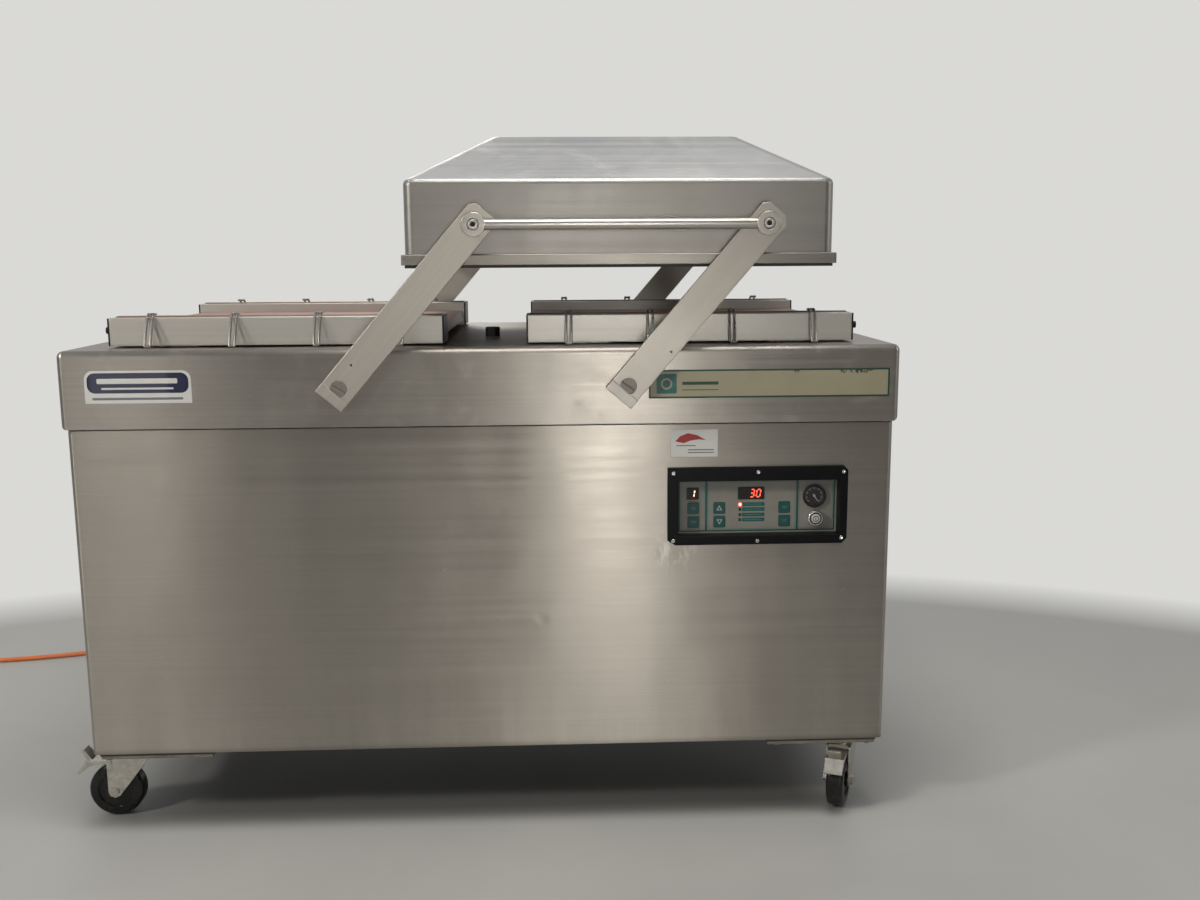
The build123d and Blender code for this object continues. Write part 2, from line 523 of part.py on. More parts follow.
HEADINGS = {"front_left": 180.0, "front_right": 246.4, "rear_left": 112.0, "rear_right": 64.0}
plates_ = []
for n, hd in HEADINGS.items():
    cx = -SWIVEL_X if "left" in n else SWIVEL_X
    cy = SWIVEL_Y if "front" in n else HEAD_D - SWIVEL_Y
    pl, fk, wh, pd = castor(cx, cy, hd, "front" in n)
    plates_.append(pl)
    add(n + "_castor_fork", *fk)
    add(n + "_castor_wheel", wh)
    if pd is not None:
        add(n + "_brake_pedal", pd)
add("castor_plates", *plates_)

# ------------------------------------------------------------- mains lead
# gland on the rear panel, lead down to the floor and out to the left, then a
# put-away coil and the plug
gl = Pos(GLAND_X, CAB_Y1 + 9, GLAND_Z) * Rot(90, 0, 0) * extrude(RegularPolygon(16, 6), 9)
gl = gl + cyl_y(GLAND_X, GLAND_Z, CAB_Y1 - 12, CAB_Y1 + 0.5, 12.5)
cone = Pos(GLAND_X, CAB_Y1 + 9 + 15, GLAND_Z) * Rot(-90, 0, 0) * Cone(12, 7.2, 30)
gl = gl + cone
add("mains_gland", gl)

EXIT = (GLAND_X, CAB_Y1 + 39.0, GLAND_Z)
FZ = CORD_D / 2 + 0.1
route = [EXIT, (-592, 846, 226), (-600, 908, 186), (-616, 962, 116), (-644, 1000, 46), (-700, 1022, FZ),
         (-790, 1046, FZ), (-905, 1050, FZ), (-1015, 1027, FZ), (-1115, 993, FZ), (-1215, 966, FZ),
         (-1315, 949, FZ), (-1372, 944.5, FZ), (-1420, 943.5, FZ)]
COIL_C, COIL_R, COIL_TURNS = (-1446.0, 877.5), 60.5, 4.25


def arcs(pts):
    radii = []
    V = [Vector(*p) for p in pts]
    for i in range(1, len(V) - 1):
        a, b = V[i] - V[i - 1], V[i + 1] - V[i]
        turn = a.get_angle(b)
        radii.append(0.45 * min(a.length, b.length) / tan(radians(turn) / 2))
        print("run %6.1f  turn %5.1f  radius %7.1f" % (a.length, turn, radii[-1]))
    return radii


rad = arcs(route)
cpath = FilletPolyline(*route, radius=rad)
cp = Plane(origin=cpath @ 0, z_dir=cpath % 0)
cord = sweep(cp * Circle(CORD_D / 2), path=cpath)
print("cord tube length", round(cpath.length, 1), "volume ratio",
      round(cord.volume / (cpath.length * pi * (CORD_D / 2) ** 2), 4))
add("mains_cord", cord)
coil = cyl_z(COIL_C[0], COIL_C[1], 0.0, 2 * CORD_D + 0.2, COIL_R + CORD_D) \
    - cyl_z(COIL_C[0], COIL_C[1], -1, 30, COIL_R - CORD_D)
coil = soften(coil, [e for e in coil.edges() if e.geom_type == GeomType.CIRCLE], (4.5, 3))
add("mains_cord_coil", coil)
print("coil length", round(2 * pi * COIL_R * COIL_TURNS, 1))

PLUG_X = COIL_C[0] - COIL_R - CORD_D / 2
py1 = COIL_C[1] - 26.0
plug = Pos(PLUG_X, py1 - 17, 19.0) * Rot(90, 0, 0) * Cone(6.5, 10, 34)
plug = plug + cyl_y(PLUG_X, 19.0, py1 - 72, py1 - 33.9, 18.5)
for s in (-1, 1):
    plug = plug + cyl_y(PLUG_X + s * 9.5, 19.0, py1 - 91, py1 - 71.9, 2.4)
add("mains_plug", plug)

# -------------------------------------------------------------------- write
os.makedirs("parts", exist_ok=True)
for name, solids in NODES.items():
    moved = [Pos(-OX, -OY, 0) * s for s in solids]
    shape = moved[0] if len(moved) == 1 else Compound(children=moved)
    shape.label = name
    export_step(shape, "parts/" + name + ".step")
own = [s.bounding_box() for n, ss in NODES.items() if not n.startswith("mains_") for s in ss]
lo = [min(tuple(b.min)[i] for b in own) for i in range(3)]
hi = [max(tuple(b.max)[i] for b in own) for i in range(3)]
print(len(NODES), "nodes; own box", [round(v, 2) for v in lo], [round(v, 2) for v in hi],
      "middle", round((lo[0] + hi[0]) / 2, 2), round((lo[1] + hi[1]) / 2, 2))
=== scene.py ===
# Looks of a double-chamber vacuum sealer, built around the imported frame.
import json
import math
import random
import bpy
import bmesh
from mathutils import Matrix, Vector

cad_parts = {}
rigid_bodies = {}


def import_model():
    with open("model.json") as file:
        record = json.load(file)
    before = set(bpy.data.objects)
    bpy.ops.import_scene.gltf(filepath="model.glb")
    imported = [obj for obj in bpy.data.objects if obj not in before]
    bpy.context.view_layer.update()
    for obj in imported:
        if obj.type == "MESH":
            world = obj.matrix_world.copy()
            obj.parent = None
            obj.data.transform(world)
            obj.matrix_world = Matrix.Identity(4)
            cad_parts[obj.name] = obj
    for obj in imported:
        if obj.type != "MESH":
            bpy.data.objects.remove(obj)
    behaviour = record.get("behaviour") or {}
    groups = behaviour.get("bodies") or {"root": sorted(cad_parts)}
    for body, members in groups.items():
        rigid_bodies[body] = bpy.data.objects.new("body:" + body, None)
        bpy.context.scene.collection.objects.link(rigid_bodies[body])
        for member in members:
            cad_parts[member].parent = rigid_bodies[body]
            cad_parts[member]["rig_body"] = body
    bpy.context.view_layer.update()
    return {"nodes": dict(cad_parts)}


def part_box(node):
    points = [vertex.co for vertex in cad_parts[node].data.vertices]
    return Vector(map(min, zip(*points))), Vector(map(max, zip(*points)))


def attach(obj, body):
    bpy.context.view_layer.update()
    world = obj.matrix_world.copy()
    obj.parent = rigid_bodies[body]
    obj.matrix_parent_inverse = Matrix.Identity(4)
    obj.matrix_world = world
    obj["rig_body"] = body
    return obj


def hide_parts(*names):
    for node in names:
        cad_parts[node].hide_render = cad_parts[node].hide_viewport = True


for _o in list(bpy.data.objects):
    bpy.data.objects.remove(_o)
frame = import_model()
NODE = frame["nodes"]
RND = random.Random(7)

# Design millimetres to the row frame: x 0 is the cabinet's middle, y 0 the
# front face of the worktop head, z 0 the floor.
_lo, _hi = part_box("worktop_head")
MX, FY = (_lo.x + _hi.x) / 2, _lo.y


def P(x, y, z):
    return Vector((MX + x / 1000.0, FY + y / 1000.0, z / 1000.0))


# ------------------------------------------------------------------ camera
cam_data = bpy.data.cameras.new("camera")
cam = bpy.data.objects.new("camera", cam_data)
bpy.context.scene.collection.objects.link(cam)
cam_data.sensor_width = 36.0
cam_data.lens = 35.69
cam_data.clip_start, cam_data.clip_end = 0.05, 80.0
cam.matrix_world = Matrix((
    (0.99909, 0.01245, -0.04096, 0.13803),
    (-0.04245, 0.16502, -0.98538, -2.40944),
    (-0.00551, 0.98621, 0.16539, 1.03626),
    (0.0, 0.0, 0.0, 1.0)))
bpy.context.scene.camera = cam


# ------------------------------------------------------------ node helpers
class Mat:
    """A material under construction: thin helpers over its node tree."""

    def __init__(s, name):
        s.m = bpy.data.materials.new(name)
        s.m.use_nodes = True
        s.t = s.m.node_tree
        s.t.nodes.clear()
        s.out = s.t.nodes.new("ShaderNodeOutputMaterial")
        s.b = s.t.nodes.new("ShaderNodeBsdfPrincipled")
        s.t.links.new(s.b.outputs[0], s.out.inputs[0])
        s._obj = None

    def new(s, kind, **props):
        n = s.t.nodes.new(kind)
        for k, v in props.items():
            setattr(n, k, v)
        return n

    def put(s, value, socket):
        if isinstance(value, bpy.types.NodeSocket):
            s.t.links.new(value, socket)
        elif isinstance(value, (tuple, list)) and len(value) == 3 and socket.type == "RGBA":
            socket.default_value = (*value, 1.0)
        else:
            socket.default_value = value

    def set(s, **kw):
        for k, v in kw.items():
            s.put(v, s.b.inputs[k.replace("_", " ")])

    def obj(s):
        if s._obj is None:
            s._obj = s.new("ShaderNodeTexCoord").outputs["Object"]
        return s._obj

    def mapped(s, rot=(0, 0, 0), scale=(1, 1, 1), loc=(0, 0, 0)):
        n = s.new("ShaderNodeMapping")
        s.put(s.obj(), n.inputs["Vector"])
        n.inputs["Location"].default_value = loc
        n.inputs["Rotation"].default_value = rot
        n.inputs["Scale"].default_value = scale
        return n.outputs[0]

    def stretched(s, rot, scale):
        """Turns the coordinates first, then stretches them."""
        a = s.mapped(rot=rot)
        n = s.new("ShaderNodeMapping")
        s.put(a, n.inputs["Vector"])
        n.inputs["Scale"].default_value = scale
        return n.outputs[0]

    def noise(s, vec, scale=1.0, detail=4.0, rough=0.55, distortion=0.0):
        n = s.new("ShaderNodeTexNoise")
        s.put(vec, n.inputs["Vector"])
        n.inputs["Scale"].default_value = scale
        n.inputs["Detail"].default_value = detail
        n.inputs["Roughness"].default_value = rough
        n.inputs["Distortion"].default_value = distortion
        return n.outputs[0]

    def ramp(s, fac, *stops, ease="LINEAR"):
        n = s.new("ShaderNodeValToRGB")
        n.color_ramp.interpolation = ease
        el = n.color_ramp.elements
        while len(el) < len(stops):
            el.new(0.5)
        for e, (p, c) in zip(el, stops):
            e.position = p
            e.color = (c, c, c, 1) if isinstance(c, (int, float)) else (*c, 1)
        s.put(fac, n.inputs[0])
        return n.outputs[0]

    def math(s, op, a, b=0.0, clamp=False):
        n = s.new("ShaderNodeMath", operation=op, use_clamp=clamp)
        s.put(a, n.inputs[0])
        s.put(b, n.inputs[1])
        return n.outputs[0]

    def mixc(s, fac, a, b, mode="MIX"):
        n = s.new("ShaderNodeMix", data_type="RGBA", blend_type=mode)
        s.put(fac, n.inputs[0])
        s.put(a, n.inputs[6])
        s.put(b, n.inputs[7])
        return n.outputs[2]

    def span(s, fac, lo, hi, a=0.0, b=1.0):
        n = s.new("ShaderNodeMapRange")
        s.put(fac, n.inputs[0])
        for i, v in enumerate((lo, hi, a, b)):
            n.inputs[i + 1].default_value = v
        return n.outputs[0]

    def near(s, centre, reach, power=1.0):
        """1 at a point, falling to 0 at a distance; reach is one per axis."""
        sub = s.new("ShaderNodeVectorMath", operation="SUBTRACT")
        s.put(s.obj(), sub.inputs[0])
        sub.inputs[1].default_value = centre
        div = s.new("ShaderNodeVectorMath", operation="DIVIDE")
        s.put(sub.outputs[0], div.inputs[0])
        div.inputs[1].default_value = reach
        ln = s.new("ShaderNodeVectorMath", operation="LENGTH")
        s.put(div.outputs[0], ln.inputs[0])
        return s.span(ln.outputs["Value"], 0.0, 1.0, 1.0, 0.0)

    def axis(s, which):
        n = s.new("ShaderNodeSeparateXYZ")
        s.put(s.obj(), n.inputs[0])
        return n.outputs["XYZ".index(which)]

    def edges(s, radius, samples=4):
        """(normal softened over the edges, mask that is 1 on them)"""
        bv = s.new("ShaderNodeBevel", samples=samples)
        bv.inputs["Radius"].default_value = radius
        geo = s.new("ShaderNodeNewGeometry")
        dot = s.new("ShaderNodeVectorMath", operation="DOT_PRODUCT")
        s.put(bv.outputs[0], dot.inputs[0])
        s.put(geo.outputs["Normal"], dot.inputs[1])
        return bv.outputs[0], s.span(dot.outputs["Value"], 0.995, 0.80)

    def bump(s, height, distance, strength=1.0, normal=None):
        n = s.new("ShaderNodeBump")
        s.put(height, n.inputs["Height"])
        n.inputs["Distance"].default_value = distance
        n.inputs["Strength"].default_value = strength
        if normal is not None:
            s.put(normal, n.inputs["Normal"])
        return n.outputs[0]

    def tangent(s, vector):
        v = s.new("ShaderNodeCombineXYZ")
        for i in range(3):
            v.inputs[i].default_value = vector[i]
        t = s.new("ShaderNodeVectorTransform", vector_type="VECTOR", convert_from="OBJECT", convert_to="WORLD")
        s.put(v.outputs[0], t.inputs[0])
        s.put(t.outputs[0], s.b.inputs["Tangent"])


def brushed(name, colour, rot=(0, 0, 0), rough=0.34, aniso=0.55, tangent=(0, 0.25, 1), grain=1.0,
            blotch=1.0, wear=1.0, scratch=1.0, edge=0.0022, extra=None, seed=0.0, waves=0.0, painted_reflection_bands=0.0):
    """Brushed stainless sheet. The grain runs along local X after rot."""
    g = Mat(name)
    fine = g.noise(g.stretched(rot, (2.2, 620, 620)), 1.0, 5, 0.6)
    mid = g.noise(g.stretched(rot, (1.1, 95, 95)), 1.0, 4, 0.6)
    wide = g.noise(g.stretched(rot, (0.45, 9, 9)), 1.0, 3, 0.5)
    cloud = g.noise(g.mapped(loc=(seed, seed * 0.7, 0.3)), 2.3, 5, 0.62, 0.4)
    smear = g.noise(g.mapped(loc=(seed, 3.1, seed), scale=(1, 1, 0.28)), 7.0, 6, 0.68, 0.9)
    normal, mask = g.edges(edge)
    c = Vector(colour)
    grain_f = g.math("ADD", g.math("MULTIPLY", g.math("SUBTRACT", fine, 0.5), 0.55 * grain),
                     g.math("ADD", g.math("MULTIPLY", g.math("SUBTRACT", mid, 0.5), 0.40 * grain),
                            g.math("MULTIPLY", g.math("SUBTRACT", wide, 0.5), 0.14 * grain)))
    # painted reflection: soft upright light bands mixed into the tone, standing in for the stretched highlights of
    # brushed sheet
    if painted_reflection_bands:
        painted_band_noise = g.noise(g.mapped(loc=(seed, 0, 0), scale=(2.6, 2.6, 0.22)), 1.0, 3, 0.5, 0.3)
        grain_f = g.math("ADD", grain_f, g.math("MULTIPLY", g.math("SUBTRACT", painted_band_noise, 0.5), painted_reflection_bands))
    tone = g.math("ADD", 0.5, grain_f, clamp=True)
    base = g.ramp(tone, (0.15, tuple(c * 0.80)), (0.5, tuple(c)), (0.85, tuple(min(1, v * 1.16) for v in c)))
    cl = g.span(cloud, 0.40, 0.68)
    base = g.mixc(g.math("MULTIPLY", cl, 0.22 * blotch), base, tuple(Vector((0.72, 0.66, 0.57)) * c.x))
    sm = g.span(smear, 0.52, 0.74)
    base = g.mixc(g.math("MULTIPLY", sm, 0.20 * blotch), base, tuple(min(1.0, v * 1.22) for v in c))
    # thin scratches: sharp ridges of a distorted stretched noise, two ways
    s1 = g.noise(g.stretched((0.3, 0.9, 0.5), (3, 150, 150)), 1.0, 2, 0.5, 0.3)
    s2 = g.noise(g.stretched((0.9, -0.5, 1.2), (4, 190, 190)), 1.0, 2, 0.5, 0.2)
    scr = g.math("MAXIMUM", g.span(s1, 0.745, 0.78), g.span(s2, 0.755, 0.79))
    base = g.mixc(g.math("MULTIPLY", scr, 0.35 * scratch), base, tuple(min(1.0, v * 1.4) for v in c))
    # edges lighter: partly wear, partly a painted highlight along every edge
    base = g.mixc(g.math("MULTIPLY", mask, 0.40 * wear), base, tuple(min(1.0, v * 1.45) for v in c))
    r = g.math("ADD", rough, g.math("MULTIPLY", g.math("SUBTRACT", mid, 0.5), 0.16))
    r = g.math("ADD", r, g.math("MULTIPLY", cl, 0.07 * blotch))
    r = g.math("ADD", r, g.math("MULTIPLY", sm, 0.06 * blotch))
    height = g.math("ADD", g.math("MULTIPLY", fine, 0.6), g.math("MULTIPLY", mid, 0.4))
    nrm = g.bump(height, 0.00022, 0.35, normal)
    if waves:
        flat = g.noise(g.mapped(loc=(seed, 0, 0), scale=(1, 1, 0.6)), 3.2, 2, 0.45)
        nrm = g.bump(flat, waves, 1.0, nrm)
    if extra:
        base, r, nrm = extra(g, base, r, nrm)
    g.set(Base_Color=base, Roughness=r, Normal=nrm, Metallic=1.0, Anisotropic=aniso)
    g.tangent(tangent)
    return g.m


def cabinet_marks(g, base, r, nrm):
    """Cleaning residue below the control panel, dust near the floor, small dents."""
    c = g.near(P(330, 5, 510), (0.05, 0.2, 0.045))
    n = g.noise(g.mapped(scale=(1, 1, 0.35)), 90, 4, 0.7)
    m = g.math("MULTIPLY", c, g.span(n, 0.48, 0.60))
    base = g.mixc(g.math("MULTIPLY", m, 0.75), base, (0.72, 0.70, 0.66))
    low = g.span(g.axis("Z"), 0.36, 0.15)
    n2 = g.noise(g.mapped(scale=(1, 1, 0.16)), 16, 5, 0.65)
    m2 = g.math("MULTIPLY", low, g.span(n2, 0.45, 0.7))
    base = g.mixc(g.math("MULTIPLY", m2, 0.30), base, (0.62, 0.59, 0.54))
    r = g.math("ADD", r, g.math("MULTIPLY", m2, 0.10))
    dents = g.noise(g.mapped(loc=(0.2, 0, 0.9)), 11, 1, 0.3)
    d = g.span(dents, 0.72, 0.80)
    nrm = g.bump(d, -0.0006, 0.5, nrm)
    # darker along the bottom 10 mm of the panels
    foot = g.span(g.axis("Z"), 0.160, 0.150)
    base = g.mixc(g.math("MULTIPLY", foot, 0.5), base, (0.16, 0.14, 0.12))
    return base, r, nrm


def head_marks(g, base, r, nrm):
    n = g.noise(g.mapped(scale=(1, 1, 1)), 26, 5, 0.7, 0.6)
    m = g.span(n, 0.56, 0.72)
    base = g.mixc(g.math("MULTIPLY", m, 0.18), base, (0.62, 0.58, 0.52))
    r = g.math("ADD", r, g.math("MULTIPLY", m, 0.08))
    return base, r, nrm


def lid_painted_sheen_and_shade(g, base, r, nrm):
    """Painted light: painted shade makes the walls duller and darker than the roof, which gets a painted sheen in
    streaks; the streaks also vary the roof's roughness.
    """
    tc = g.new("ShaderNodeTexCoord")
    sx = g.new("ShaderNodeSeparateXYZ")
    g.put(sx.inputs[0], tc.outputs["Normal"])
    up = g.span(sx.outputs["Z"], 0.35, 0.90)
    streak = g.noise(g.mapped(loc=(0.7, 0.1, 0), rot=(0, 0, 0.22), scale=(1.0, 5.0, 1.0)), 2.4, 5, 0.6, 0.5)
    st = g.span(streak, 0.40, 0.62)
    # painted sheen on the upward faces and painted shade on the upright walls, chosen by which way the surface faces
    roof_painted_sheen = g.mixc(st, (0.60, 0.61, 0.62), (0.80, 0.81, 0.825))
    wall_painted_shade = g.mixc(0.42, base, (0.22, 0.205, 0.185))
    base = g.mixc(up, wall_painted_shade, g.mixc(0.35, roof_painted_sheen, base))
    r = g.math("ADD", r, g.math("MULTIPLY", up, g.span(streak, 0.40, 0.62, 0.04, -0.05)))
    return base, r, nrm


def pin_socket_painted_shade(g, base, r, nrm):
    """Painted shade: dark discs painted into the key sockets of the pivot screws."""
    for x, z in PIVOTS:
        c = g.near(P(x, -30, z), (0.0050, 0.03, 0.0050))
        base = g.mixc(g.math("MULTIPLY", g.span(c, 0.02, 0.25), 0.96), base, (0.015, 0.014, 0.013))
    return base, r, nrm


def plain(name, colour, rough=0.5, metallic=0.0, vary=0.12, scale=60.0, bumpd=0.0001, wear=0.0, worn=(0.5, 0.5, 0.5),
          dust=0.0, edge=0.0015, spec=0.5, coat=0.0, grit=400.0):
    """Painted, moulded or plated surface with mottling, fine grit, edge wear and dust."""
    g = Mat(name)
    c = Vector(colour)
    n1 = g.noise(g.obj(), scale, 5, 0.6, 0.3)
    n2 = g.noise(g.obj(), grit, 3, 0.6)
    n3 = g.noise(g.obj(), scale * 0.17, 4, 0.6, 0.5)
    base = g.ramp(n1, (0.25, tuple(c * (1 - vary))), (0.5, tuple(c)), (0.8, tuple(min(1, v * (1 + vary)) for v in c)))
    normal, mask = g.edges(edge)
    if wear:
        w = g.math("MULTIPLY", mask, g.span(n3, 0.35, 0.62))
        base = g.mixc(g.math("MULTIPLY", w, wear), base, worn)
    if dust:
        base = g.mixc(g.math("MULTIPLY", g.span(n3, 0.40, 0.70), dust), base, (0.52, 0.49, 0.44))
    r = g.math("ADD", rough, g.math("MULTIPLY", g.math("SUBTRACT", n3, 0.5), 0.28))
    g.set(Base_Color=base, Roughness=r, Metallic=metallic, Specular_IOR_Level=spec, Coat_Weight=coat,
          Normal=g.bump(g.math("ADD", n2, g.math("MULTIPLY", n1, 0.5)), bumpd, 0.6, normal))
    return g.m


def glow(name, colour, core, strength):
    g = Mat(name)
    n = g.noise(g.obj(), 900, 2, 0.5)
    g.set(Base_Color=g.ramp(n, (0.3, tuple(Vector(colour) * 0.8)), (0.7, colour)), Roughness=0.4,
          Emission_Color=core, Emission_Strength=strength)
    return g.m


# --------------------------------------------------------------- materials
STEEL = (0.50, 0.475, 0.44)
M = {}
M["cabinet_steel"] = brushed("cabinet_brushed_steel", (0.43, 0.398, 0.357), rough=0.33, aniso=0.86, waves=0.004, painted_reflection_bands=0.9, grain=0.8,
                             extra=cabinet_marks, seed=1.7)
M["cabinet_side"] = brushed("cabinet_side_steel", (0.50, 0.47, 0.43), rot=(0, 0, 1.5708), rough=0.36, aniso=0.7,
                            tangent=(0.25, 0, 1), waves=0.003, painted_reflection_bands=0.7, grain=0.8, seed=4.1)
M["head_steel"] = brushed("head_brushed_steel", (0.42, 0.392, 0.355), rough=0.33, aniso=0.72, extra=head_marks,
                          waves=0.0015, seed=8.3)
M["lid_steel"] = brushed("lid_brushed_steel", (0.47, 0.46, 0.44), rough=0.38, aniso=0.35, seed=2.9, blotch=1.3,
                         waves=0.0012, extra=lid_painted_sheen_and_shade)
M["rim_steel"] = brushed("rim_brushed_steel", (0.33, 0.31, 0.28), rough=0.34, aniso=0.3, seed=5.5)
ARM_TILT = math.atan2(274.1, 234.93)
M["arm_steel"] = brushed("arm_satin_steel", (0.50, 0.47, 0.425), rot=(0, ARM_TILT, 0), rough=0.40, aniso=0.35,
                         tangent=(-0.76, 0, 0.65), blotch=1.0, seed=6.6, scratch=1.4)
M["handle_steel"] = brushed("handle_steel", (0.58, 0.56, 0.52), rough=0.28, aniso=0.3, seed=3.3, blotch=0.5)
PIVOTS = [(234.93 - 247.0, 1080.1), (234.93 + 247.0, 1080.1)]
M["pin_steel"] = brushed("pin_steel", (0.27, 0.25, 0.225), rot=(0, 0.55, 0), rough=0.44, aniso=0.0, seed=9.3, blotch=1.5, grain=1.6)
M["screw_steel"] = brushed("pivot_screw_steel", (0.50, 0.48, 0.45), rough=0.32, aniso=0.0, seed=6.3, extra=pin_socket_painted_shade)
M["bar_aluminium"] = brushed("bar_anodised_aluminium", (0.57, 0.55, 0.51), rough=0.42, aniso=0.15, blotch=0.8, seed=7.7,
                             grain=0.7, scratch=0.8)
M["seal_bar"] = brushed("seal_bar_aluminium", (0.55, 0.53, 0.50), rough=0.42, aniso=0.3, seed=7.1)
M["wire_steel"] = plain("spring_wire", (0.34, 0.33, 0.31), 0.30, 1.0, 0.15, 90, 0.00004)
M["spring_steel"] = plain("torsion_spring_steel", (0.22, 0.21, 0.20), 0.42, 1.0, 0.2, 60, 0.00006, dust=0.15)
M["zinc"] = plain("zinc_plate", (0.56, 0.54, 0.49), 0.30, 1.0, 0.30, 70, 0.00012, wear=0.45, worn=(0.26, 0.20, 0.15), dust=0.18)
M["chrome"] = plain("chromed_ring", (0.74, 0.74, 0.73), 0.16, 1.0, 0.06, 80, 0.00002)
M["bronze"] = plain("bearing_bronze", (0.52, 0.34, 0.15), 0.35, 1.0, 0.15, 50, 0.00006)
M["frame_steel"] = plain("painted_frame", (0.10, 0.10, 0.105), 0.55, 0.0, 0.2, 40, 0.00015, wear=0.5, worn=(0.30, 0.24, 0.19), dust=0.35)
M["zinc_dull"] = plain("zinc_plate_dull", (0.27, 0.245, 0.205), 0.42, 1.0, 0.30, 60, 0.00014, wear=0.4, worn=(0.14, 0.11, 0.08), dust=0.15)
M["pad_dark"] = plain("castor_pad_dark", (0.045, 0.040, 0.035), 0.55, 0.0, 0.25, 60, 0.00015, wear=0.4, worn=(0.20, 0.15, 0.10), dust=0.12)
M["black_plastic"] = plain("black_end_cap", (0.009, 0.009, 0.0095), 0.40, 0.0, 0.3, 120, 0.00006, wear=0.22, worn=(0.08, 0.08, 0.08), dust=0.02, spec=0.3)
M["bezel_black"] = plain("bezel_lacquer", (0.0035, 0.0038, 0.005), 0.36, 0.0, 0.3, 120, 0.00008, wear=0.30, worn=(0.05, 0.05, 0.052), spec=0.16)
M["wheel_black"] = plain("wheel_nylon", (0.006, 0.006, 0.0065), 0.26, 0.0, 0.35, 60, 0.0001, wear=0.3, worn=(0.06, 0.06, 0.06), dust=0.03, spec=0.35)
M["rubber_black"] = plain("hose_rubber", (0.030, 0.030, 0.031), 0.62, 0.0, 0.3, 60, 0.00015, dust=0.12)
M["seal_rubber"] = plain("seal_silicone", (0.045, 0.045, 0.046), 0.55, 0.0, 0.25, 70, 0.0001, dust=0.08)
M["plate_brown"] = plain("insert_board", (0.36, 0.185, 0.150), 0.42, 0.0, 0.10, 14, 0.00012, wear=0.8, worn=(0.70, 0.58, 0.52), dust=0.10, edge=0.0025)
M["pump_paint"] = plain("pump_paint", (0.24, 0.26, 0.28), 0.45, 0.0, 0.15, 30, 0.0003, wear=0.4, worn=(0.45, 0.43, 0.40), dust=0.30)
M["motor_paint"] = plain("motor_paint", (0.16, 0.18, 0.20), 0.45, 0.0, 0.15, 30, 0.0003, wear=0.4, worn=(0.45, 0.43, 0.40), dust=0.30)
M["electrics_grey"] = plain("electrics_grey", (0.46, 0.46, 0.45), 0.5, 0.0, 0.06, 30, 0.0001, dust=0.12)
M["gauge_black"] = plain("gauge_black", (0.014, 0.014, 0.015), 0.38, 0.0, 0.2, 200, 0.00004)
M["dial_black"] = plain("dial_matt_black", (0.010, 0.010, 0.011), 0.7, 0.0, 0.2, 300, 0.00002)
M["print_white"] = plain("print_white", (0.80, 0.79, 0.75), 0.5, 0.0, 0.05, 300, 0.00001)
M["needle_white"] = plain("needle_white", (0.86, 0.85, 0.82), 0.4, 0.0, 0.04, 300, 0.00001)
M["button_cream"] = plain("button_cream", (0.80, 0.78, 0.71), 0.35, 0.0, 0.05, 200, 0.00003, coat=0.2)
M["print_black"] = plain("print_black", (0.012, 0.012, 0.013), 0.45, 0.0, 0.2, 300, 0.00001)
M["window_black"] = plain("display_window", (0.022, 0.010, 0.012), 0.12, 0.0, 0.2, 300, 0.00001, coat=0.6)
M["teal_dark"] = plain("print_teal_dark", (0.004, 0.105, 0.096), 0.38, 0.0, 0.15, 300, 0.00002)
M["teal"] = plain("print_teal", (0.004, 0.150, 0.135), 0.38, 0.0, 0.12, 300, 0.00002)
M["teal_light"] = plain("print_teal_light", (0.10, 0.36, 0.32), 0.40, 0.0, 0.12, 300, 0.00002)
M["key_teal"] = plain("key_teal_film", (0.003, 0.105, 0.098), 0.33, 0.0, 0.12, 250, 0.00004, coat=0.15)
M["green_dark"] = plain("sticker_green", (0.008, 0.060, 0.042), 0.4, 0.0, 0.1, 200, 0.00003)
M["navy"] = plain("sticker_navy", (0.006, 0.009, 0.055), 0.32, 0.0, 0.1, 100, 0.00004, coat=0.3)
M["sticker_white"] = plain("sticker_white", (0.80, 0.80, 0.77), 0.4, 0.0, 0.04, 40, 0.00004, dust=0.08, coat=0.2)
M["sticker_red"] = plain("sticker_red", (0.42, 0.018, 0.025), 0.4, 0.0, 0.08, 200, 0.00002)
M["print_grey"] = plain("print_grey", (0.22, 0.22, 0.23), 0.5, 0.0, 0.1, 300, 0.00001)
M["cord_orange"] = plain("cord_sheath_orange", (0.80, 0.20, 0.045), 0.46, 0.0, 0.10, 45, 0.00012, dust=0.14, grit=260)
M["ptfe_tape"] = plain("ptfe_tape", (0.20, 0.115, 0.075), 0.40, 0.0, 0.18, 90, 0.0002, dust=0.06, grit=900)
M["brass"] = plain("pin_brass", (0.70, 0.60, 0.40), 0.26, 1.0, 0.1, 80, 0.00003)


def fascia_material():
    """Printed polyester film: greige, with painted shade from the bezel darkening its upper part, so it is a little
    lighter toward its foot.
    """
    g = Mat("fascia_film")
    n1 = g.noise(g.obj(), 30, 4, 0.6)
    n2 = g.noise(g.obj(), 1400, 3, 0.6)
    # painted shade: the upper part is darkened as in the bezel's shadow
    up = g.span(g.axis("Z"), 0.540, 0.630)
    a = g.ramp(n1, (0.3, (0.34, 0.325, 0.285)), (0.7, (0.40, 0.385, 0.335)))
    b = g.mixc(g.math("MULTIPLY", up, 0.35), a, (0.27, 0.255, 0.225))
    g.set(Base_Color=b, Roughness=g.span(n1, 0.3, 0.7, 0.34, 0.46), Normal=g.bump(n2, 0.00004, 0.5), Coat_Weight=0.12)
    return g.m


M["fascia_film"] = fascia_material()


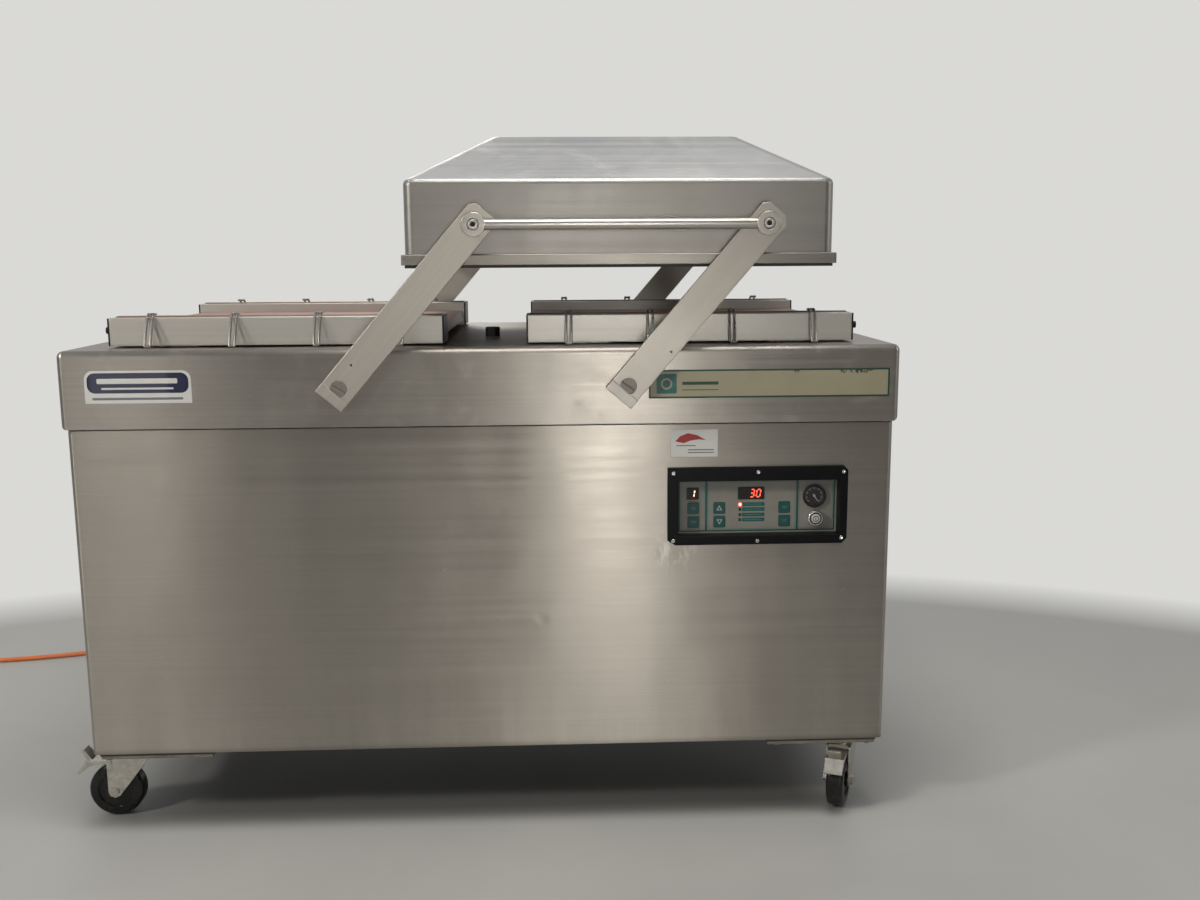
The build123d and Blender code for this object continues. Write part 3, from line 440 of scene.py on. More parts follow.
def champagne_material():
    """Printed strip, rubbed through to dark specks along its upper edge near the right end."""
    g = Mat("sticker_champagne")
    n1 = g.noise(g.obj(), 22, 5, 0.6)
    n2 = g.noise(g.obj(), 400, 3, 0.6)
    base = g.ramp(n1, (0.25, (0.385, 0.350, 0.225)), (0.75, (0.425, 0.390, 0.255)))
    base = g.mixc(g.math("MULTIPLY", g.span(g.noise(g.obj(), 4, 4, 0.6), 0.4, 0.7), 0.15), base, (0.50, 0.48, 0.40))
    speck = g.noise(g.mapped(scale=(1, 1, 1.3)), 130, 3, 0.65, 0.4)
    for x, z, rx in ((622, 829.5, 0.007), (646, 828.5, 0.016), (664, 829, 0.012), (540, 830, 0.006)):
        c = g.near(P(x, -1, z), (rx, 0.03, 0.0062))
        hole = g.math("MULTIPLY", g.span(c, 0.05, 0.35), g.span(speck, 0.46, 0.50))
        base = g.mixc(hole, base, (0.045, 0.040, 0.034))
    g.set(Base_Color=base, Roughness=g.span(n1, 0.3, 0.7, 0.30, 0.42), Normal=g.bump(n2, 0.00006, 0.5), Coat_Weight=0.2)
    return g.m


M["champagne"] = champagne_material()


def glass_material():
    g = Mat("gauge_glass")
    n = g.noise(g.obj(), 60, 3, 0.5)
    g.set(Base_Color=(1.0, 1.0, 1.0), Roughness=g.span(n, 0.3, 0.7, 0.01, 0.05), IOR=1.45, Transmission_Weight=1.0)
    return g.m


M["gauge_glass"] = glass_material()
M["led_red"] = glow("display_red", (0.9, 0.05, 0.03), (1.0, 0.07, 0.035), 3.2)
M["led_core"] = glow("display_core", (1.0, 0.6, 0.5), (1.0, 0.42, 0.30), 3.0)

# ------------------------------------------------- finish of the CAD nodes
FINISH = {
    "cabinet_steel": ["front_panel", "rear_panel"],
    "cabinet_side": ["side_panels"],
    "head_steel": ["worktop_head"],
    "lid_steel": ["lid_shell"],
    "rim_steel": ["lid_rim"],
    "arm_steel": ["left_arms", "right_arms"],
    "handle_steel": ["handle_bar"],
    "pin_steel": ["left_shaft", "right_shaft"],
    "screw_steel": ["lid_pivot_screws"],
    "bar_aluminium": ["bar_housings", "counter_bars"],
    "seal_bar": ["left_front_seal_bar", "right_front_seal_bar", "left_rear_seal_bar", "right_rear_seal_bar"],
    "black_plastic": ["bar_end_caps", "port_cap", "mains_gland"],
    "wire_steel": ["bag_clips"],
    "plate_brown": ["insert_plates"],
    "frame_steel": ["base_frame"],
    "zinc_dull": ["castor_plates"],
    "zinc": ["lift_cylinders", "front_left_castor_fork", "front_right_castor_fork",
             "rear_left_castor_fork", "rear_right_castor_fork", "front_left_brake_pedal", "front_right_brake_pedal"],
    "wheel_black": ["front_left_castor_wheel", "front_right_castor_wheel", "rear_left_castor_wheel",
                    "rear_right_castor_wheel"],
    "bezel_black": ["control_bezel"],
    "fascia_film": ["control_fascia"],
    "key_teal": ["key_mode_upper", "key_mode_lower", "key_up", "key_down", "key_stop_upper", "key_stop_lower"],
    "gauge_black": ["gauge_case"],
    "gauge_glass": ["gauge_lens"],
    "needle_white": ["gauge_needle"],
    "chrome": ["switch_bezel", "panel_screws"],
    "button_cream": ["switch_button"],
    "seal_rubber": ["lid_seals"],
    "spring_steel": ["counterbalance_springs"],
    "bronze": ["shaft_bearings"],
    "pump_paint": ["vacuum_pump"],
    "motor_paint": ["pump_motor"],
    "rubber_black": ["vacuum_hose"],
    "electrics_grey": ["electrical_units"],
    "cord_orange": ["mains_cord", "mains_cord_coil", "mains_plug"],
}
for finish_name, names in FINISH.items():
    for n in names:
        for s in NODE[n].material_slots:
            s.material = M[finish_name]


# ------------------------------------------------------------ mesh helpers
def link(mesh, name, mat, body=None):
    o = bpy.data.objects.new(name, mesh)
    bpy.context.scene.collection.objects.link(o)
    if mat:
        o.data.materials.append(M[mat])
    if body:
        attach(o, body)
    return o


def from_bm(bm, name, mat, body=None, smooth=False, angle=35):
    me = bpy.data.meshes.new(name)
    bmesh.ops.recalc_face_normals(bm, faces=bm.faces)
    bm.to_mesh(me)
    bm.free()
    if smooth:
        me.shade_smooth()
        me.set_sharp_from_angle(angle=math.radians(angle))
    return link(me, name, mat, body)


def outline_rect(x0, x1, z0, z1, r=0.0, seg=5, corners=(1, 1, 1, 1)):
    """Rounded rectangle, counterclockwise from the lower left; corners LL LR UR UL."""
    pts = []
    for (cx, cz, a0, k) in ((x0 + r, z0 + r, 180, 0), (x1 - r, z0 + r, 270, 1), (x1 - r, z1 - r, 0, 2), (x0 + r, z1 - r, 90, 3)):
        if r <= 0 or not corners[k]:
            pts.append(((x0, x1, x1, x0)[k], (z0, z0, z1, z1)[k]))
            continue
        for i in range(seg + 1):
            a = math.radians(a0 + 90 * i / seg)
            pts.append((cx + r * math.cos(a), cz + r * math.sin(a)))
    return pts


def add_slab(bm, pts, y_front, y_back, inner=None, soften=0.0):
    """Solid slab in the XZ plane from an outline (and a hole outline of as many points)."""
    def ringv(ps, y):
        return [bm.verts.new(P(x, y, z)) for x, z in ps]
    if inner is None:
        if soften > 0:
            cx = sum(p[0] for p in pts) / len(pts)
            cz = sum(p[1] for p in pts) / len(pts)
            def inset(p):
                d = math.hypot(p[0] - cx, p[1] - cz) or 1
                return (p[0] + (cx - p[0]) * soften / d, p[1] + (cz - p[1]) * soften / d)
            f = ringv([inset(p) for p in pts], y_front)
            m = ringv(pts, y_front + soften)
            b = ringv(pts, y_back)
            n = len(pts)
            for i in range(n):
                j = (i + 1) % n
                bm.faces.new((f[i], f[j], m[j], m[i]))
                bm.faces.new((m[i], m[j], b[j], b[i]))
            bm.faces.new(f)
            bm.faces.new(list(reversed(b)))
            return
        f, b = ringv(pts, y_front), ringv(pts, y_back)
        n = len(pts)
        for i in range(n):
            j = (i + 1) % n
            bm.faces.new((f[i], f[j], b[j], b[i]))
        bm.faces.new(f)
        bm.faces.new(list(reversed(b)))
        return
    n = len(pts)
    f, b = ringv(pts, y_front), ringv(pts, y_back)
    fi, bi = ringv(inner, y_front), ringv(inner, y_back)
    for i in range(n):
        j = (i + 1) % n
        bm.faces.new((f[i], f[j], b[j], b[i]))
        bm.faces.new((fi[j], fi[i], bi[i], bi[j]))
        bm.faces.new((f[j], f[i], fi[i], fi[j]))
        bm.faces.new((b[i], b[j], bi[j], bi[i]))


def slabs(name, mat, body, items):
    """One piece of several slabs; item: (points, y_front, y_back[, inner])."""
    bm = bmesh.new()
    for it in items:
        add_slab(bm, it[0], it[1], it[2], it[3] if len(it) > 3 else None)
    return from_bm(bm, name, mat, body)


def circle(cx, cz, r, n=32, a0=0.0):
    return [(cx + r * math.cos(a0 + 2 * math.pi * i / n), cz + r * math.sin(a0 + 2 * math.pi * i / n)) for i in range(n)]


def lathe(bm, profile, origin, axis, seg=32, flutes=0, depth=0.0, span=None):
    """Turns (distance along axis, radius) points round an axis; mm in the design frame.
    flutes ribs of a depth are cut between the two distances in span."""
    axis = Vector(axis).normalized()
    side = axis.orthogonal().normalized()
    up = axis.cross(side)
    rings = []
    for d, r in profile:
        ringv = []
        for i in range(seg):
            a = 2 * math.pi * i / seg
            rr = r
            if flutes and span and span[0] <= d <= span[1]:
                rr = r - depth * (0.5 - 0.5 * math.cos(flutes * a))
            v = Vector(origin) + axis * d + (side * math.cos(a) + up * math.sin(a)) * rr
            ringv.append(bm.verts.new(P(*v)))
        rings.append(ringv)
    for a, b in zip(rings, rings[1:]):
        for i in range(seg):
            j = (i + 1) % seg
            bm.faces.new((a[i], a[j], b[j], b[i]))
    if profile[0][1] > 1e-6:
        bm.faces.new(list(reversed(rings[0])))
    if profile[-1][1] > 1e-6:
        bm.faces.new(rings[-1])
    return rings


def torus(bm, centre, axis, R, r, seg=40, tube=10):
    axis = Vector(axis).normalized()
    side = axis.orthogonal().normalized()
    up = axis.cross(side)
    rings = []
    for i in range(seg):
        a = 2 * math.pi * i / seg
        out = side * math.cos(a) + up * math.sin(a)
        rings.append([bm.verts.new(P(*(Vector(centre) + out * (R + r * math.cos(2 * math.pi * k / tube))
                                       + axis * (r * math.sin(2 * math.pi * k / tube))))) for k in range(tube)])
    for i in range(seg):
        a, b = rings[i], rings[(i + 1) % seg]
        for k in range(tube):
            l = (k + 1) % tube
            bm.faces.new((a[k], b[k], b[l], a[l]))


# -------------------------------------------------------------- mains lead
# The plug first: a moulded body with a fluted grip, a flared face, two pins.
PLUG_X, PLUG_Z, PLUG_Y = -1512.0, 19.0, 851.5
bm = bmesh.new()
lathe(bm, [(0, 5.9), (0.6, 6.6), (3, 6.9), (4, 6.3), (7, 7.4), (8, 6.8), (11, 8.0), (12, 7.4), (15, 8.7), (16, 8.1), (19, 9.5),
           (20, 8.9), (24, 10.4), (29, 11.6), (33, 13.6), (37, 16.0), (41, 17.2), (46, 17.8), (56, 17.9), (62, 17.6), (66, 17.9),
           (68, 18.4), (71.2, 18.5), (72, 17.8), (72.1, 15.6), (68.5, 15.2), (68.4, 0.0001)],
      (PLUG_X, PLUG_Y, PLUG_Z), (0, -1, 0), seg=72, flutes=24, depth=1.1, span=(40, 64))
bmesh.ops.remove_doubles(bm, verts=bm.verts, dist=1e-7)
plug_body = from_bm(bm, "plug_body", "cord_orange", "root", smooth=True, angle=32)
bm = bmesh.new()
for s in (-1, 1):
    lathe(bm, [(0, 0.0001), (0, 2.4), (17.5, 2.4), (18.6, 2.15), (19.4, 1.4), (19.6, 0.0001)],
          (PLUG_X + s * 9.5, PLUG_Y - 71.5, PLUG_Z), (0, -1, 0), seg=24)
bmesh.ops.remove_doubles(bm, verts=bm.verts, dist=1e-7)
plug_pins = from_bm(bm, "plug_pins", "brass", "root", smooth=True, angle=40)

# The lead: its route's points, then the coil's turns, one open spline.
ROUTE = [(-590, 784, 235), (-592, 846, 226), (-600, 908, 186), (-616, 962, 116), (-644, 1000, 46), (-700, 1022, 5.6),
         (-790, 1046, 5.6), (-905, 1050, 5.6), (-1015, 1027, 5.6), (-1115, 993, 5.6), (-1215, 966, 5.6),
         (-1315, 949, 5.6), (-1372, 944.5, 5.6), (-1420, 943.5, 5.6)]


def eased(t, stops):
    """Piecewise value over t, easing between (t, value) stops."""
    for (t0, v0), (t1, v1) in zip(stops, stops[1:]):
        if t <= t1:
            u = max(0.0, min(1.0, (t - t0) / (t1 - t0)))
            return v0 + (v1 - v0) * u * u * (3 - 2 * u)
    return stops[-1][1]


COIL_C, TURNS, PER_TURN = (-1446.0, 877.5), 4.25, 20
R_STOPS = [(0, 66), (0.75, 66), (1.0, 55), (2.4, 55), (2.6, 66), (2.85, 66), (3.05, 60.5), (4.0, 60.5), (4.2, 66), (4.25, 66)]
Z_STOPS = [(0, 5.6), (1.6, 5.6), (1.75, 16.9), (2.85, 16.9), (3.05, 26.6), (4.02, 26.6), (4.25, 19.0)]
coil_pts = []
for i in range(1, int(TURNS * PER_TURN) + 1):
    t = i / PER_TURN
    r = eased(t, R_STOPS) * 1.012 + 0.5 * math.sin(5.1 * t)
    a = math.radians(90) + 2 * math.pi * t
    coil_pts.append((COIL_C[0] + r * math.cos(a), COIL_C[1] + r * math.sin(a), eased(t, Z_STOPS)))
tail = [(-1512.0, 868.0, 19.0), (-1512.0, 851.0, 19.0)]
points = ROUTE + coil_pts + tail
curve = bpy.data.curves.new("mains_lead", "CURVE")
curve.dimensions = "3D"
curve.bevel_depth = 0.0055
curve.bevel_resolution = 6
curve.resolution_u = 8
curve.use_fill_caps = True
spline = curve.splines.new("NURBS")
spline.points.add(len(points) - 1)
for sp, p in zip(spline.points, points):
    sp.co = (*P(*p), 1.0)
spline.order_u = 3
spline.use_endpoint_u = True
lead = bpy.data.objects.new("mains_lead", curve)
bpy.context.scene.collection.objects.link(lead)
curve.materials.append(M["cord_orange"])
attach(lead, "root")
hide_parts("mains_cord", "mains_cord_coil")
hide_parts("mains_plug")

# strain relief: ribs round the gland's taper and a clamp ring at its root
bm = bmesh.new()
for i in range(6):
    y = 757.5 + i * 4.4
    torus(bm, (-590, y, 235), (0, 1, 0), 12.0 - (y - 754) * 0.16 + 0.25, 0.85, 40, 8)
lathe(bm, [(0, 12.3), (0.4, 13.1), (2.2, 13.1), (2.6, 12.3)], (-590, 753.6, 235), (0, 1, 0), 40)
relief_ribs = from_bm(bm, "strain_relief_ribs", "black_plastic", "root", smooth=True)

# ------------------------------------------------------ stage and lighting
bm = bmesh.new()
for co in ((-14, -14), (14, -14), (14, 14), (-14, 14)):
    bm.verts.new((co[0], co[1], -0.0004))
bm.faces.new(bm.verts)
g = Mat("studio_floor")
n1 = g.noise(g.obj(), 1.3, 5, 0.6, 0.4)
n2 = g.noise(g.obj(), 34, 4, 0.6)
fx, fy = g.axis("X"), g.math("ADD", g.axis("Y"), 1.15)
dist = g.math("SQRT", g.math("ADD", g.math("MULTIPLY", fx, g.math("MULTIPLY", fx, 0.62)), g.math("MULTIPLY", fy, fy)))
far = g.span(dist, 2.3, 2.62)
fl = g.ramp(n1, (0.3, (0.43, 0.43, 0.41)), (0.7, (0.50, 0.495, 0.47)))
# painted shadow: the floor is darkened under the machine's footprint
painted_shadow_under_machine = g.math("MULTIPLY", g.span(g.math("ABSOLUTE", g.axis("X")), 0.76, 0.60), g.span(g.math("ABSOLUTE", g.axis("Y")), 0.37, 0.29))
fl = g.mixc(g.math("MULTIPLY", painted_shadow_under_machine, 0.72), fl, (0.09, 0.09, 0.085))
g.set(Base_Color=fl, Roughness=g.span(n1, 0.3, 0.7, 0.42, 0.62), Normal=g.bump(n2, 0.0006, 0.25))
fnt = g.m.node_tree
fout = next(n for n in fnt.nodes if n.type == "OUTPUT_MATERIAL")
fsh = fout.inputs["Surface"].links[0].from_socket
fem = fnt.nodes.new("ShaderNodeEmission")
fem.inputs[0].default_value = (0.76, 0.755, 0.735, 1)
fem.inputs[1].default_value = 0.92
fmix = fnt.nodes.new("ShaderNodeMixShader")
fpath = fnt.nodes.new("ShaderNodeLightPath")
fnt.links.new(g.math("MULTIPLY", far, fpath.outputs["Is Camera Ray"]), fmix.inputs[0])
fnt.links.new(fsh, fmix.inputs[1])
fnt.links.new(fem.outputs[0], fmix.inputs[2])
fnt.links.new(fmix.outputs[0], fout.inputs["Surface"])
M["studio_floor"] = g.m
floor = from_bm(bm, "studio_floor", "studio_floor")

world = bpy.data.worlds.new("studio")
bpy.context.scene.world = world
world.use_nodes = True
wt = world.node_tree
wt.nodes.clear()
wo = wt.nodes.new("ShaderNodeOutputWorld")
wb = wt.nodes.new("ShaderNodeBackground")
wc = wt.nodes.new("ShaderNodeTexCoord")
ws = wt.nodes.new("ShaderNodeSeparateXYZ")
wt.links.new(wc.outputs["Generated"], ws.inputs[0])
wr = wt.nodes.new("ShaderNodeValToRGB")
wm = wt.nodes.new("ShaderNodeMapRange")
wt.links.new(ws.outputs["Y"], wm.inputs[0])
for i, v in enumerate((-1.0, 1.0, 0.0, 1.0)):
    wm.inputs[i + 1].default_value = v
wt.links.new(wm.outputs[0], wr.inputs[0])
el = wr.color_ramp.elements
el.new(0.5)
el.new(0.7)
for e, (p, c) in zip(el, ((0.0, (0.18, 0.17, 0.158)), (0.35, (0.24, 0.23, 0.217)), (0.62, (0.80, 0.80, 0.79)), (1.0, (1.0, 1.005, 1.01)))):
    e.position = p
    e.color = (*c, 1)
wz = wt.nodes.new("ShaderNodeMapRange")
wt.links.new(ws.outputs["Z"], wz.inputs[0])
for i, v in enumerate((0.25, 0.95, 0.0, 1.0)):
    wz.inputs[i + 1].default_value = v
wx = wt.nodes.new("ShaderNodeMix")
wx.data_type = "RGBA"
wt.links.new(wz.outputs[0], wx.inputs[0])
wt.links.new(wr.outputs[0], wx.inputs[6])
wx.inputs[7].default_value = (0.50, 0.51, 0.52, 1)
wt.links.new(wx.outputs[2], wb.inputs[0])
wb.inputs[1].default_value = 0.62
wback = wt.nodes.new("ShaderNodeBackground")
wback.inputs[0].default_value = (0.76, 0.755, 0.735, 1)
wback.inputs[1].default_value = 0.92
wpath = wt.nodes.new("ShaderNodeLightPath")
wmix = wt.nodes.new("ShaderNodeMixShader")
wt.links.new(wpath.outputs["Is Camera Ray"], wmix.inputs[0])
wt.links.new(wb.outputs[0], wmix.inputs[1])
wt.links.new(wback.outputs[0], wmix.inputs[2])
wt.links.new(wmix.outputs[0], wo.inputs[0])


def area(name, loc, target, size, power, colour=(1.0, 0.97, 0.92), size_y=None, strip=False):
    d = bpy.data.lights.new(name, "AREA")
    d.shape = "RECTANGLE"
    d.size, d.size_y = size, size_y or size
    d.energy = power
    d.color = colour
    o = bpy.data.objects.new(name, d)
    bpy.context.scene.collection.objects.link(o)
    o.location = loc
    o.rotation_mode = "QUATERNION"
    o.rotation_quaternion = (Vector(target) - Vector(loc)).to_track_quat("-Z", "Y")
    o.visible_camera = False
    o.visible_diffuse = not strip
    return o


area("key_upper_left", (-2.7, -2.1, 2.3), (0.0, 0.0, 0.75), 0.42, 46, size_y=0.42)
area("band_front", (0.40, -3.6, 0.85), (0.2, -0.36, 0.45), 0.16, 12, size_y=1.5, strip=True)
area("band_left", (-1.6, -3.3, 0.9), (-0.4, -0.36, 0.6), 0.30, 3.0, size_y=1.2, strip=True)
area("overhead", (0.3, -0.9, 3.3), (0.1, 0.0, 0.9), 1.4, 34, size_y=0.8)
area("right_fill", (3.4, -1.2, 1.9), (0.2, 0.0, 0.6), 1.2, 12)
area("rear_fill", (-0.6, 3.2, 2.8), (0.0, 0.0, 0.9), 1.2, 14)
bpy.context.scene.view_settings.view_transform = "Standard"

# ------------------------------------------------------- control panel print
FF = 27.05          # front face of the fascia
IN = 27.25          # a little inside it, so that prints are bedded


def framed(x0, x1, z0, z1, w, r, yf):
    return (outline_rect(x0, x1, z0, z1, r), yf, IN, outline_rect(x0 + w, x1 - w, z0 + w, z1 - w, max(0.05, r - w)))


slabs("fascia_border_outer", "teal_dark", "root", [framed(338.6, 619.6, 538.6, 632.4, 2.6, 2.0, FF - 0.06),
      (outline_rect(386.2, 390.0, 541.0, 630.0), FF - 0.05, IN), (outline_rect(549.8, 553.6, 541.0, 630.0), FF - 0.05, IN)])
slabs("fascia_border_inner", "teal_light", "root", [framed(342.4, 384.9, 542.4, 628.6, 0.9, 1.2, FF - 0.07),
      framed(391.3, 548.5, 542.4, 628.6, 0.9, 1.2, FF - 0.07), framed(554.9, 615.8, 542.4, 628.6, 0.9, 1.2, FF - 0.07)])
slabs("display_windows", "window_black", "root", [(outline_rect(353.6, 373.8, 598.3, 618.6, 1.0), FF - 0.35, IN),
      (outline_rect(445.5, 491.5, 597.3, 618.6, 1.0), FF - 0.35, IN)])
slabs("display_frames", "teal", "root", [framed(352.4, 375.0, 597.1, 619.8, 1.1, 1.4, FF - 0.12),
      framed(444.3, 492.7, 596.1, 619.8, 1.1, 1.4, FF - 0.12)])


def seven(x, z, w, h, on, lean=0.16, t=1.9):
    """Slanted seven-segment figure: outlines of the lit segments. x, z is its lower left."""
    out = []
    hh = h / 2

    def lean_pt(px, pz):
        return (x + px + lean * pz, z + pz)
    def bar_h(pz):
        a = t / 2
        return [lean_pt(*p) for p in ((0.8 + a, pz - a), (w - 0.8 - a, pz - a), (w - 0.8, pz), (w - 0.8 - a, pz + a), (0.8 + a, pz + a), (0.8, pz))]
    def bar_v(px, p0, p1):
        a = t / 2
        return [lean_pt(*p) for p in ((px, p0 + 0.5), (px + a, p0 + 0.5 + a), (px + a, p1 - 0.5 - a), (px, p1 - 0.5), (px - a, p1 - 0.5 - a), (px - a, p0 + 0.5 + a))]
    seg = {"a": bar_h(h), "g": bar_h(hh), "d": bar_h(0), "f": bar_v(0, hh, h), "b": bar_v(w, hh, h), "e": bar_v(0, 0, hh), "c": bar_v(w, 0, hh)}
    return [seg[k] for k in on]


digits = seven(466.2, 601.2, 6.6, 13.2, "abcdg") + seven(477.4, 601.2, 6.6, 13.2, "abcdef")
slabs("display_digits", "led_red", "root", [(p, FF - 0.42, FF - 0.2) for p in digits])
slabs("display_program_digit", "led_core", "root", [(p, FF - 0.42, FF - 0.2) for p in seven(359.6, 602.0, 6.0, 12.6, "bc", t=2.2)])

rows = (587.7, 578.6, 568.6, 559.6)
slabs("label_bars", "teal", "root", [(outline_rect(452.4, 493.0, z - 3.4, z + 3.4, 0.7), FF - 0.05, IN) for z in rows])
slabs("label_rules", "teal_light", "root", [(outline_rect(458.0, 487.0, z - 0.55, z + 0.55, 0.3), FF - 0.08, IN) for z in rows])
slabs("led_dark", "window_black", "root", [(outline_rect(446.4, 450.9, z - 2.6, z + 2.6, 0.5), FF - 0.10, IN) for z in rows[1:]])
bm = bmesh.new()
lathe(bm, [(0, 2.3), (0.35, 2.3), (0.7, 1.9), (0.9, 1.1), (0.95, 0.0001)], (448.9, FF, 587.4), (0, -1, 0), 24)
bmesh.ops.remove_doubles(bm, verts=bm.verts, dist=1e-7)
from_bm(bm, "led_lit", "led_core", "root", smooth=True)
slabs("led_lit_ring", "led_red", "root", [(circle(448.9, 587.4, 3.5), FF - 0.12, IN, circle(448.9, 587.4, 2.35))])
slabs("fascia_small_rule", "teal", "root", [(outline_rect(356.0, 371.5, 593.6, 594.6, 0.3), FF - 0.05, IN)])

# keys: an inner frame on each, a small mark on each
KEY_AT = {"key_mode_upper": (365.0, 581.5), "key_mode_lower": (365.5, 556.7), "key_up": (411.5, 581.5),
          "key_down": (412.0, 556.7), "key_stop_upper": (528.5, 581.5), "key_stop_lower": (529.0, 556.7)}
for n, (x, z) in KEY_AT.items():
    kf = 26.4
    body = NODE[n]["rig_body"]
    ring_out = outline_rect(x - 8.6, x + 8.6, z - 8.6, z + 8.6, 1.9)
    ring_in = outline_rect(x - 7.6, x + 7.6, z - 7.6, z + 7.6, 1.2)
    slabs(n + "_frame", "teal", body, [(ring_out, kf - 0.07, kf + 0.1, ring_in)])
    if n in ("key_up", "key_down"):
        s = 1 if n == "key_up" else -1
        tri = [(x - 5.2, z - s * 4.0), (x + 5.2, z - s * 4.0), (x, z + s * 5.2)]
        tri_in = [(x - 3.0, z - s * 2.8), (x + 3.0, z - s * 2.8), (x, z + s * 2.9)]
        if s < 0:
            tri, tri_in = tri[::-1], tri_in[::-1]
        slabs(n + "_mark", "print_white", body, [(tri, kf - 0.09, kf + 0.1, tri_in)])
    else:
        slabs(n + "_mark", "teal_light", body, [(outline_rect(x - 5.0, x + 5.0, z + 0.6, z + 2.0, 0.5), kf - 0.09, kf + 0.1),
              (outline_rect(x - 3.6, x + 3.6, z - 2.2, z - 1.0, 0.4), kf - 0.09, kf + 0.1)])

# gauge: dial with ticks, a rolled edge on its case
GX, GZ = 582.0, 601.4
bm = bmesh.new()
add_slab(bm, circle(GX, GZ, 17.4, 48), 28.35, 28.62, circle(GX, GZ, 2.6, 48))
from_bm(bm, "gauge_dial", "dial_black", "root")
items = []
for k in range(41):
    a = math.radians(225 - 270 * k / 40)
    major = k % 5 == 0
    r0, r1, w = (11.6, 15.6, 0.42) if major else (13.4, 15.6, 0.20)
    d, q = Vector((math.cos(a), math.sin(a))), Vector((-math.sin(a), math.cos(a)))
    c = Vector((GX, GZ))
    items.append(([tuple(c + d * r0 - q * w), tuple(c + d * r1 - q * w), tuple(c + d * r1 + q * w), tuple(c + d * r0 + q * w)], 28.22, 28.4))
slabs("gauge_ticks", "print_white", "root", items)
bm = bmesh.new()
torus(bm, (GX, 22.7, GZ), (0, 1, 0), 20.0, 0.75, 64, 10)
from_bm(bm, "gauge_rolled_edge", "gauge_black", "root", smooth=True)

# push switch: black collar between the ring and the button, mark on the button
SX, SZ = 583.5, 561.8
bm = bmesh.new()
add_slab(bm, circle(SX, SZ, 10.9, 48), 16.6, 17.6, circle(SX, SZ, 8.9, 48))
from_bm(bm, "switch_collar", "print_black", "root")
bf = 15.5
slabs("switch_mark", "print_black", NODE["switch_button"]["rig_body"], [
      (circle(SX, SZ, 5.5, 40), bf - 0.06, bf + 0.1, circle(SX, SZ, 3.9, 40)),
      (outline_rect(SX - 0.8, SX + 0.8, SZ - 2.5, SZ + 2.5, 0.4), bf - 0.06, bf + 0.1)])

# ---------------------------------------------------------------- stickers
def sticker(name, mat, pts, y, t=0.22, body="root", inner=None):
    bm = bmesh.new()
    add_slab(bm, pts, y - t, y + 0.05, inner)
    return from_bm(bm, name, mat, body)


HF, CF = 0.0, 7.0
sticker("model_strip_border", "green_dark", outline_rect(283, 703.5, 783, 832.5, 1.2), HF, 0.20)
sticker("model_strip_face", "champagne", outline_rect(286.0, 700.5, 786.0, 829.5, 0.8), HF, 0.26)
sticker("model_strip_square", "teal", outline_rect(296.5, 331.0, 791.5, 825.0, 1.6), HF, 0.31)
sticker("model_strip_disc", "champagne", circle(313.75, 808.25, 10.0, 40), HF, 0.36, inner=circle(313.75, 808.25, 6.8, 40))
sticker("model_strip_rules", "green_dark", outline_rect(341, 404, 806.2, 811.6, 0.6), HF, 0.31)
sticker("model_strip_rule_thin", "green_dark", outline_rect(341, 404, 796.8, 798.0, 0.3), HF, 0.31)
sticker("service_sticker_base", "sticker_white", outline_rect(-676, -497, 784, 840, 15, 8, (0, 0, 1, 1)), HF, 0.20)
sticker("service_sticker_field", "navy", outline_rect(-671.5, -501.5, 801.5, 836, 13, 8), HF, 0.26)
sticker("service_sticker_bar", "sticker_white", outline_rect(-655, -520, 817.5, 826.5, 2.0), HF, 0.31)
sticker("service_sticker_line", "sticker_white", outline_rect(-648, -527, 807.6, 811.0, 1.0), HF, 0.31)
sticker("service_sticker_foot_line", "print_grey", outline_rect(-664, -512, 790.0, 794.0, 1.0), HF, 0.26)
sticker("dealer_sticker_base", "sticker_white", outline_rect(322, 405, 678, 727, 1.2), CF, 0.20)
red = [(330, 706), (338, 715), (352, 720.5), (368, 717), (384, 708), (372, 709.5), (357, 707.5), (345, 703)]
sticker("dealer_sticker_shape", "sticker_red", red, CF, 0.26)
for i, (x0, x1, z) in enumerate(((332, 366, 697.5), (352, 398, 690.0), (352, 398, 685.2))):
    sticker("dealer_sticker_line_%d" % i, "print_grey", outline_rect(x0, x1, z, z + 1.8, 0.4), CF, 0.26)

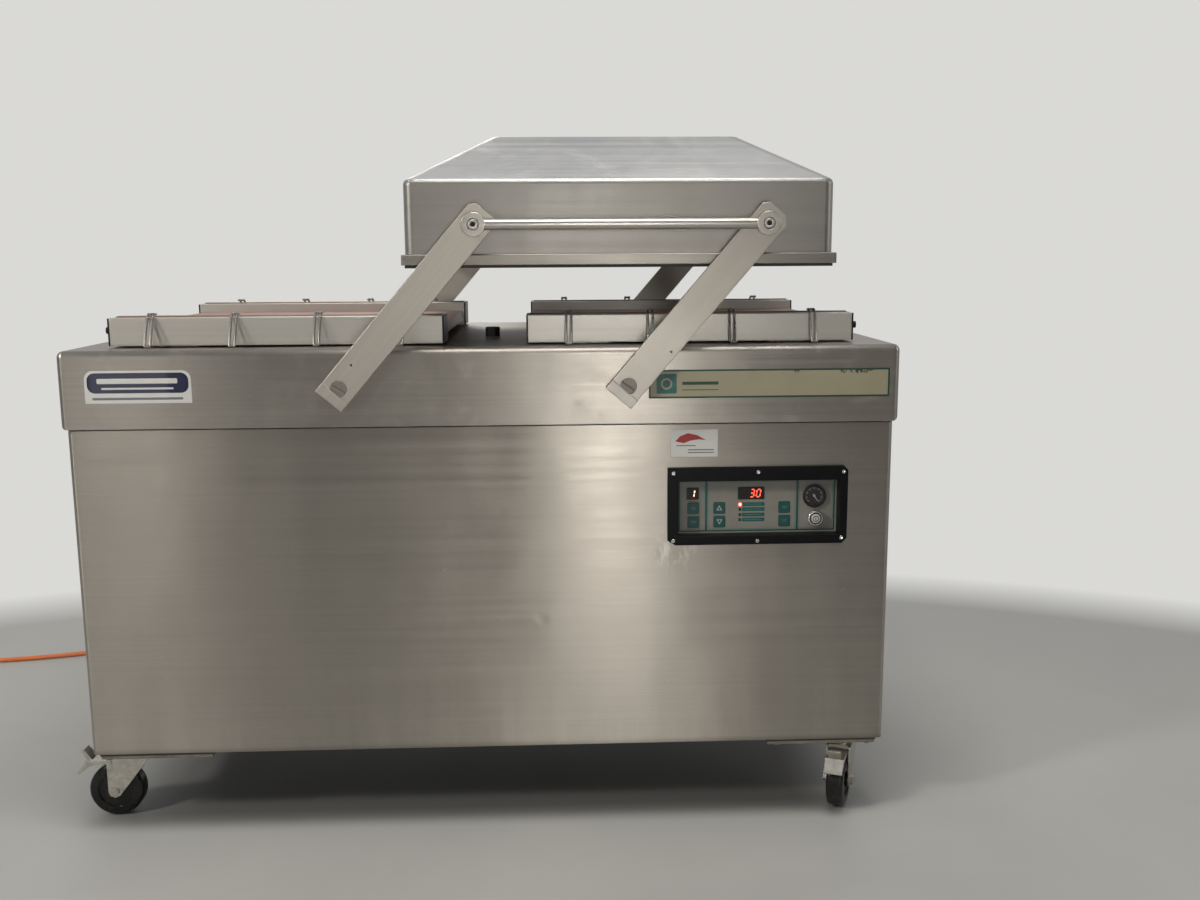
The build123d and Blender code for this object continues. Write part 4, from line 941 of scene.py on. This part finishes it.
# -------------------------------------------------------------- seal tapes
def seal_tape(name, body, sx, front):
    """Non-stick tape over a seal bar, with the ridges of the two wires under it."""
    yc = 101.0 if front else 750.0 - 101.0
    prof = [(-11.25, 899.0), (-11.25, 924.6), (-10.6, 926.0), (-9.4, 926.75), (-5.4, 926.78), (-4.8, 927.15), (-2.6, 927.2), (-2.0, 926.8),
            (1.2, 926.8), (1.8, 927.15), (3.4, 927.15), (4.0, 926.8), (9.4, 926.75), (10.6, 926.0), (11.25, 924.6), (11.25, 899.0),
            (11.04, 899.0), (11.04, 924.4), (9.2, 926.4), (-9.2, 926.4), (-11.04, 924.4), (-11.04, 899.0)]
    xs = [77.4, 78.2] + [78.2 + (645.8 - 78.2) * i / 40 for i in range(1, 40)] + [645.8, 646.6]
    bm = bmesh.new()
    rings = []
    for k, x in enumerate(xs):
        wob = 0.10 * math.sin(x * 0.045 + (1 if front else 4)) + 0.05 * math.sin(x * 0.17)
        ringv = []
        for (y, z) in prof:
            dz = wob if (z > 926.6) else 0.0
            ringv.append(bm.verts.new(P(sx * x, yc + y, z + max(-0.05, dz))))
        rings.append(ringv)
    n = len(prof)
    for a, b in zip(rings, rings[1:]):
        for i in range(n):
            j = (i + 1) % n
            bm.faces.new((a[i], a[j], b[j], b[i]))
    bm.faces.new(rings[0])
    bm.faces.new(list(reversed(rings[-1])))
    return from_bm(bm, name, "ptfe_tape", body, smooth=True, angle=50)


for sx, side in ((-1, "left"), (1, "right")):
    for front in (True, False):
        node = "%s_%s_seal_bar" % (side, "front" if front else "rear")
        seal_tape(node + "_tape", NODE[node]["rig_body"], sx, front)

# ------------------------------------------------------------ small fittings
# castor swivel races
for n, (cx, cy) in {"front_left": (-664, 92), "front_right": (664, 92), "rear_left": (-664, 658), "rear_right": (664, 658)}.items():
    bm = bmesh.new()
    torus(bm, (cx, cy, 127.3), (0, 0, 1), 31.5, 1.5, 48, 8)
    from_bm(bm, n + "_swivel_race", "zinc", NODE[n + "_castor_fork"]["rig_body"], smooth=True)

# front and rear lips of the castor plates with their pads and screws, seen as
# a dark strip and a plated strip under the cabinet's lower edge
for side, sx in (("left", -1), ("right", 1)):
    xa, xb = sorted((sx * 503, sx * 701))
    for end, y0, y1, ys in (("front", 11.6, 43.0, 25.0), ("rear", 707.0, 738.4, 725.0)):
        slabs("%s_%s_plate_lip" % (end, side), "zinc_dull", "root", [(outline_rect(xa, xb, 139.3, 145.1, 1.2), y0, y1)])
        slabs("%s_%s_pad_lip" % (end, side), "pad_dark", "root",
              [(outline_rect(xa - 1.5, xb + 1.5, 145.0, 149.7, 0.6), y0 - 0.8, y1 + 6)])
        bm = bmesh.new()
        for x in (sx * 524, sx * 690):
            lathe(bm, [(0, 9.2), (0.8, 9.2), (0.8, 7.0), (1.2, 7.6), (4.4, 7.6), (5.2, 6.6), (5.2, 0.0001)],
                  (x, ys, 139.4), (0, 0, -1), 6)
        from_bm(bm, "%s_%s_plate_screws" % (end, side), "zinc_dull", "root")
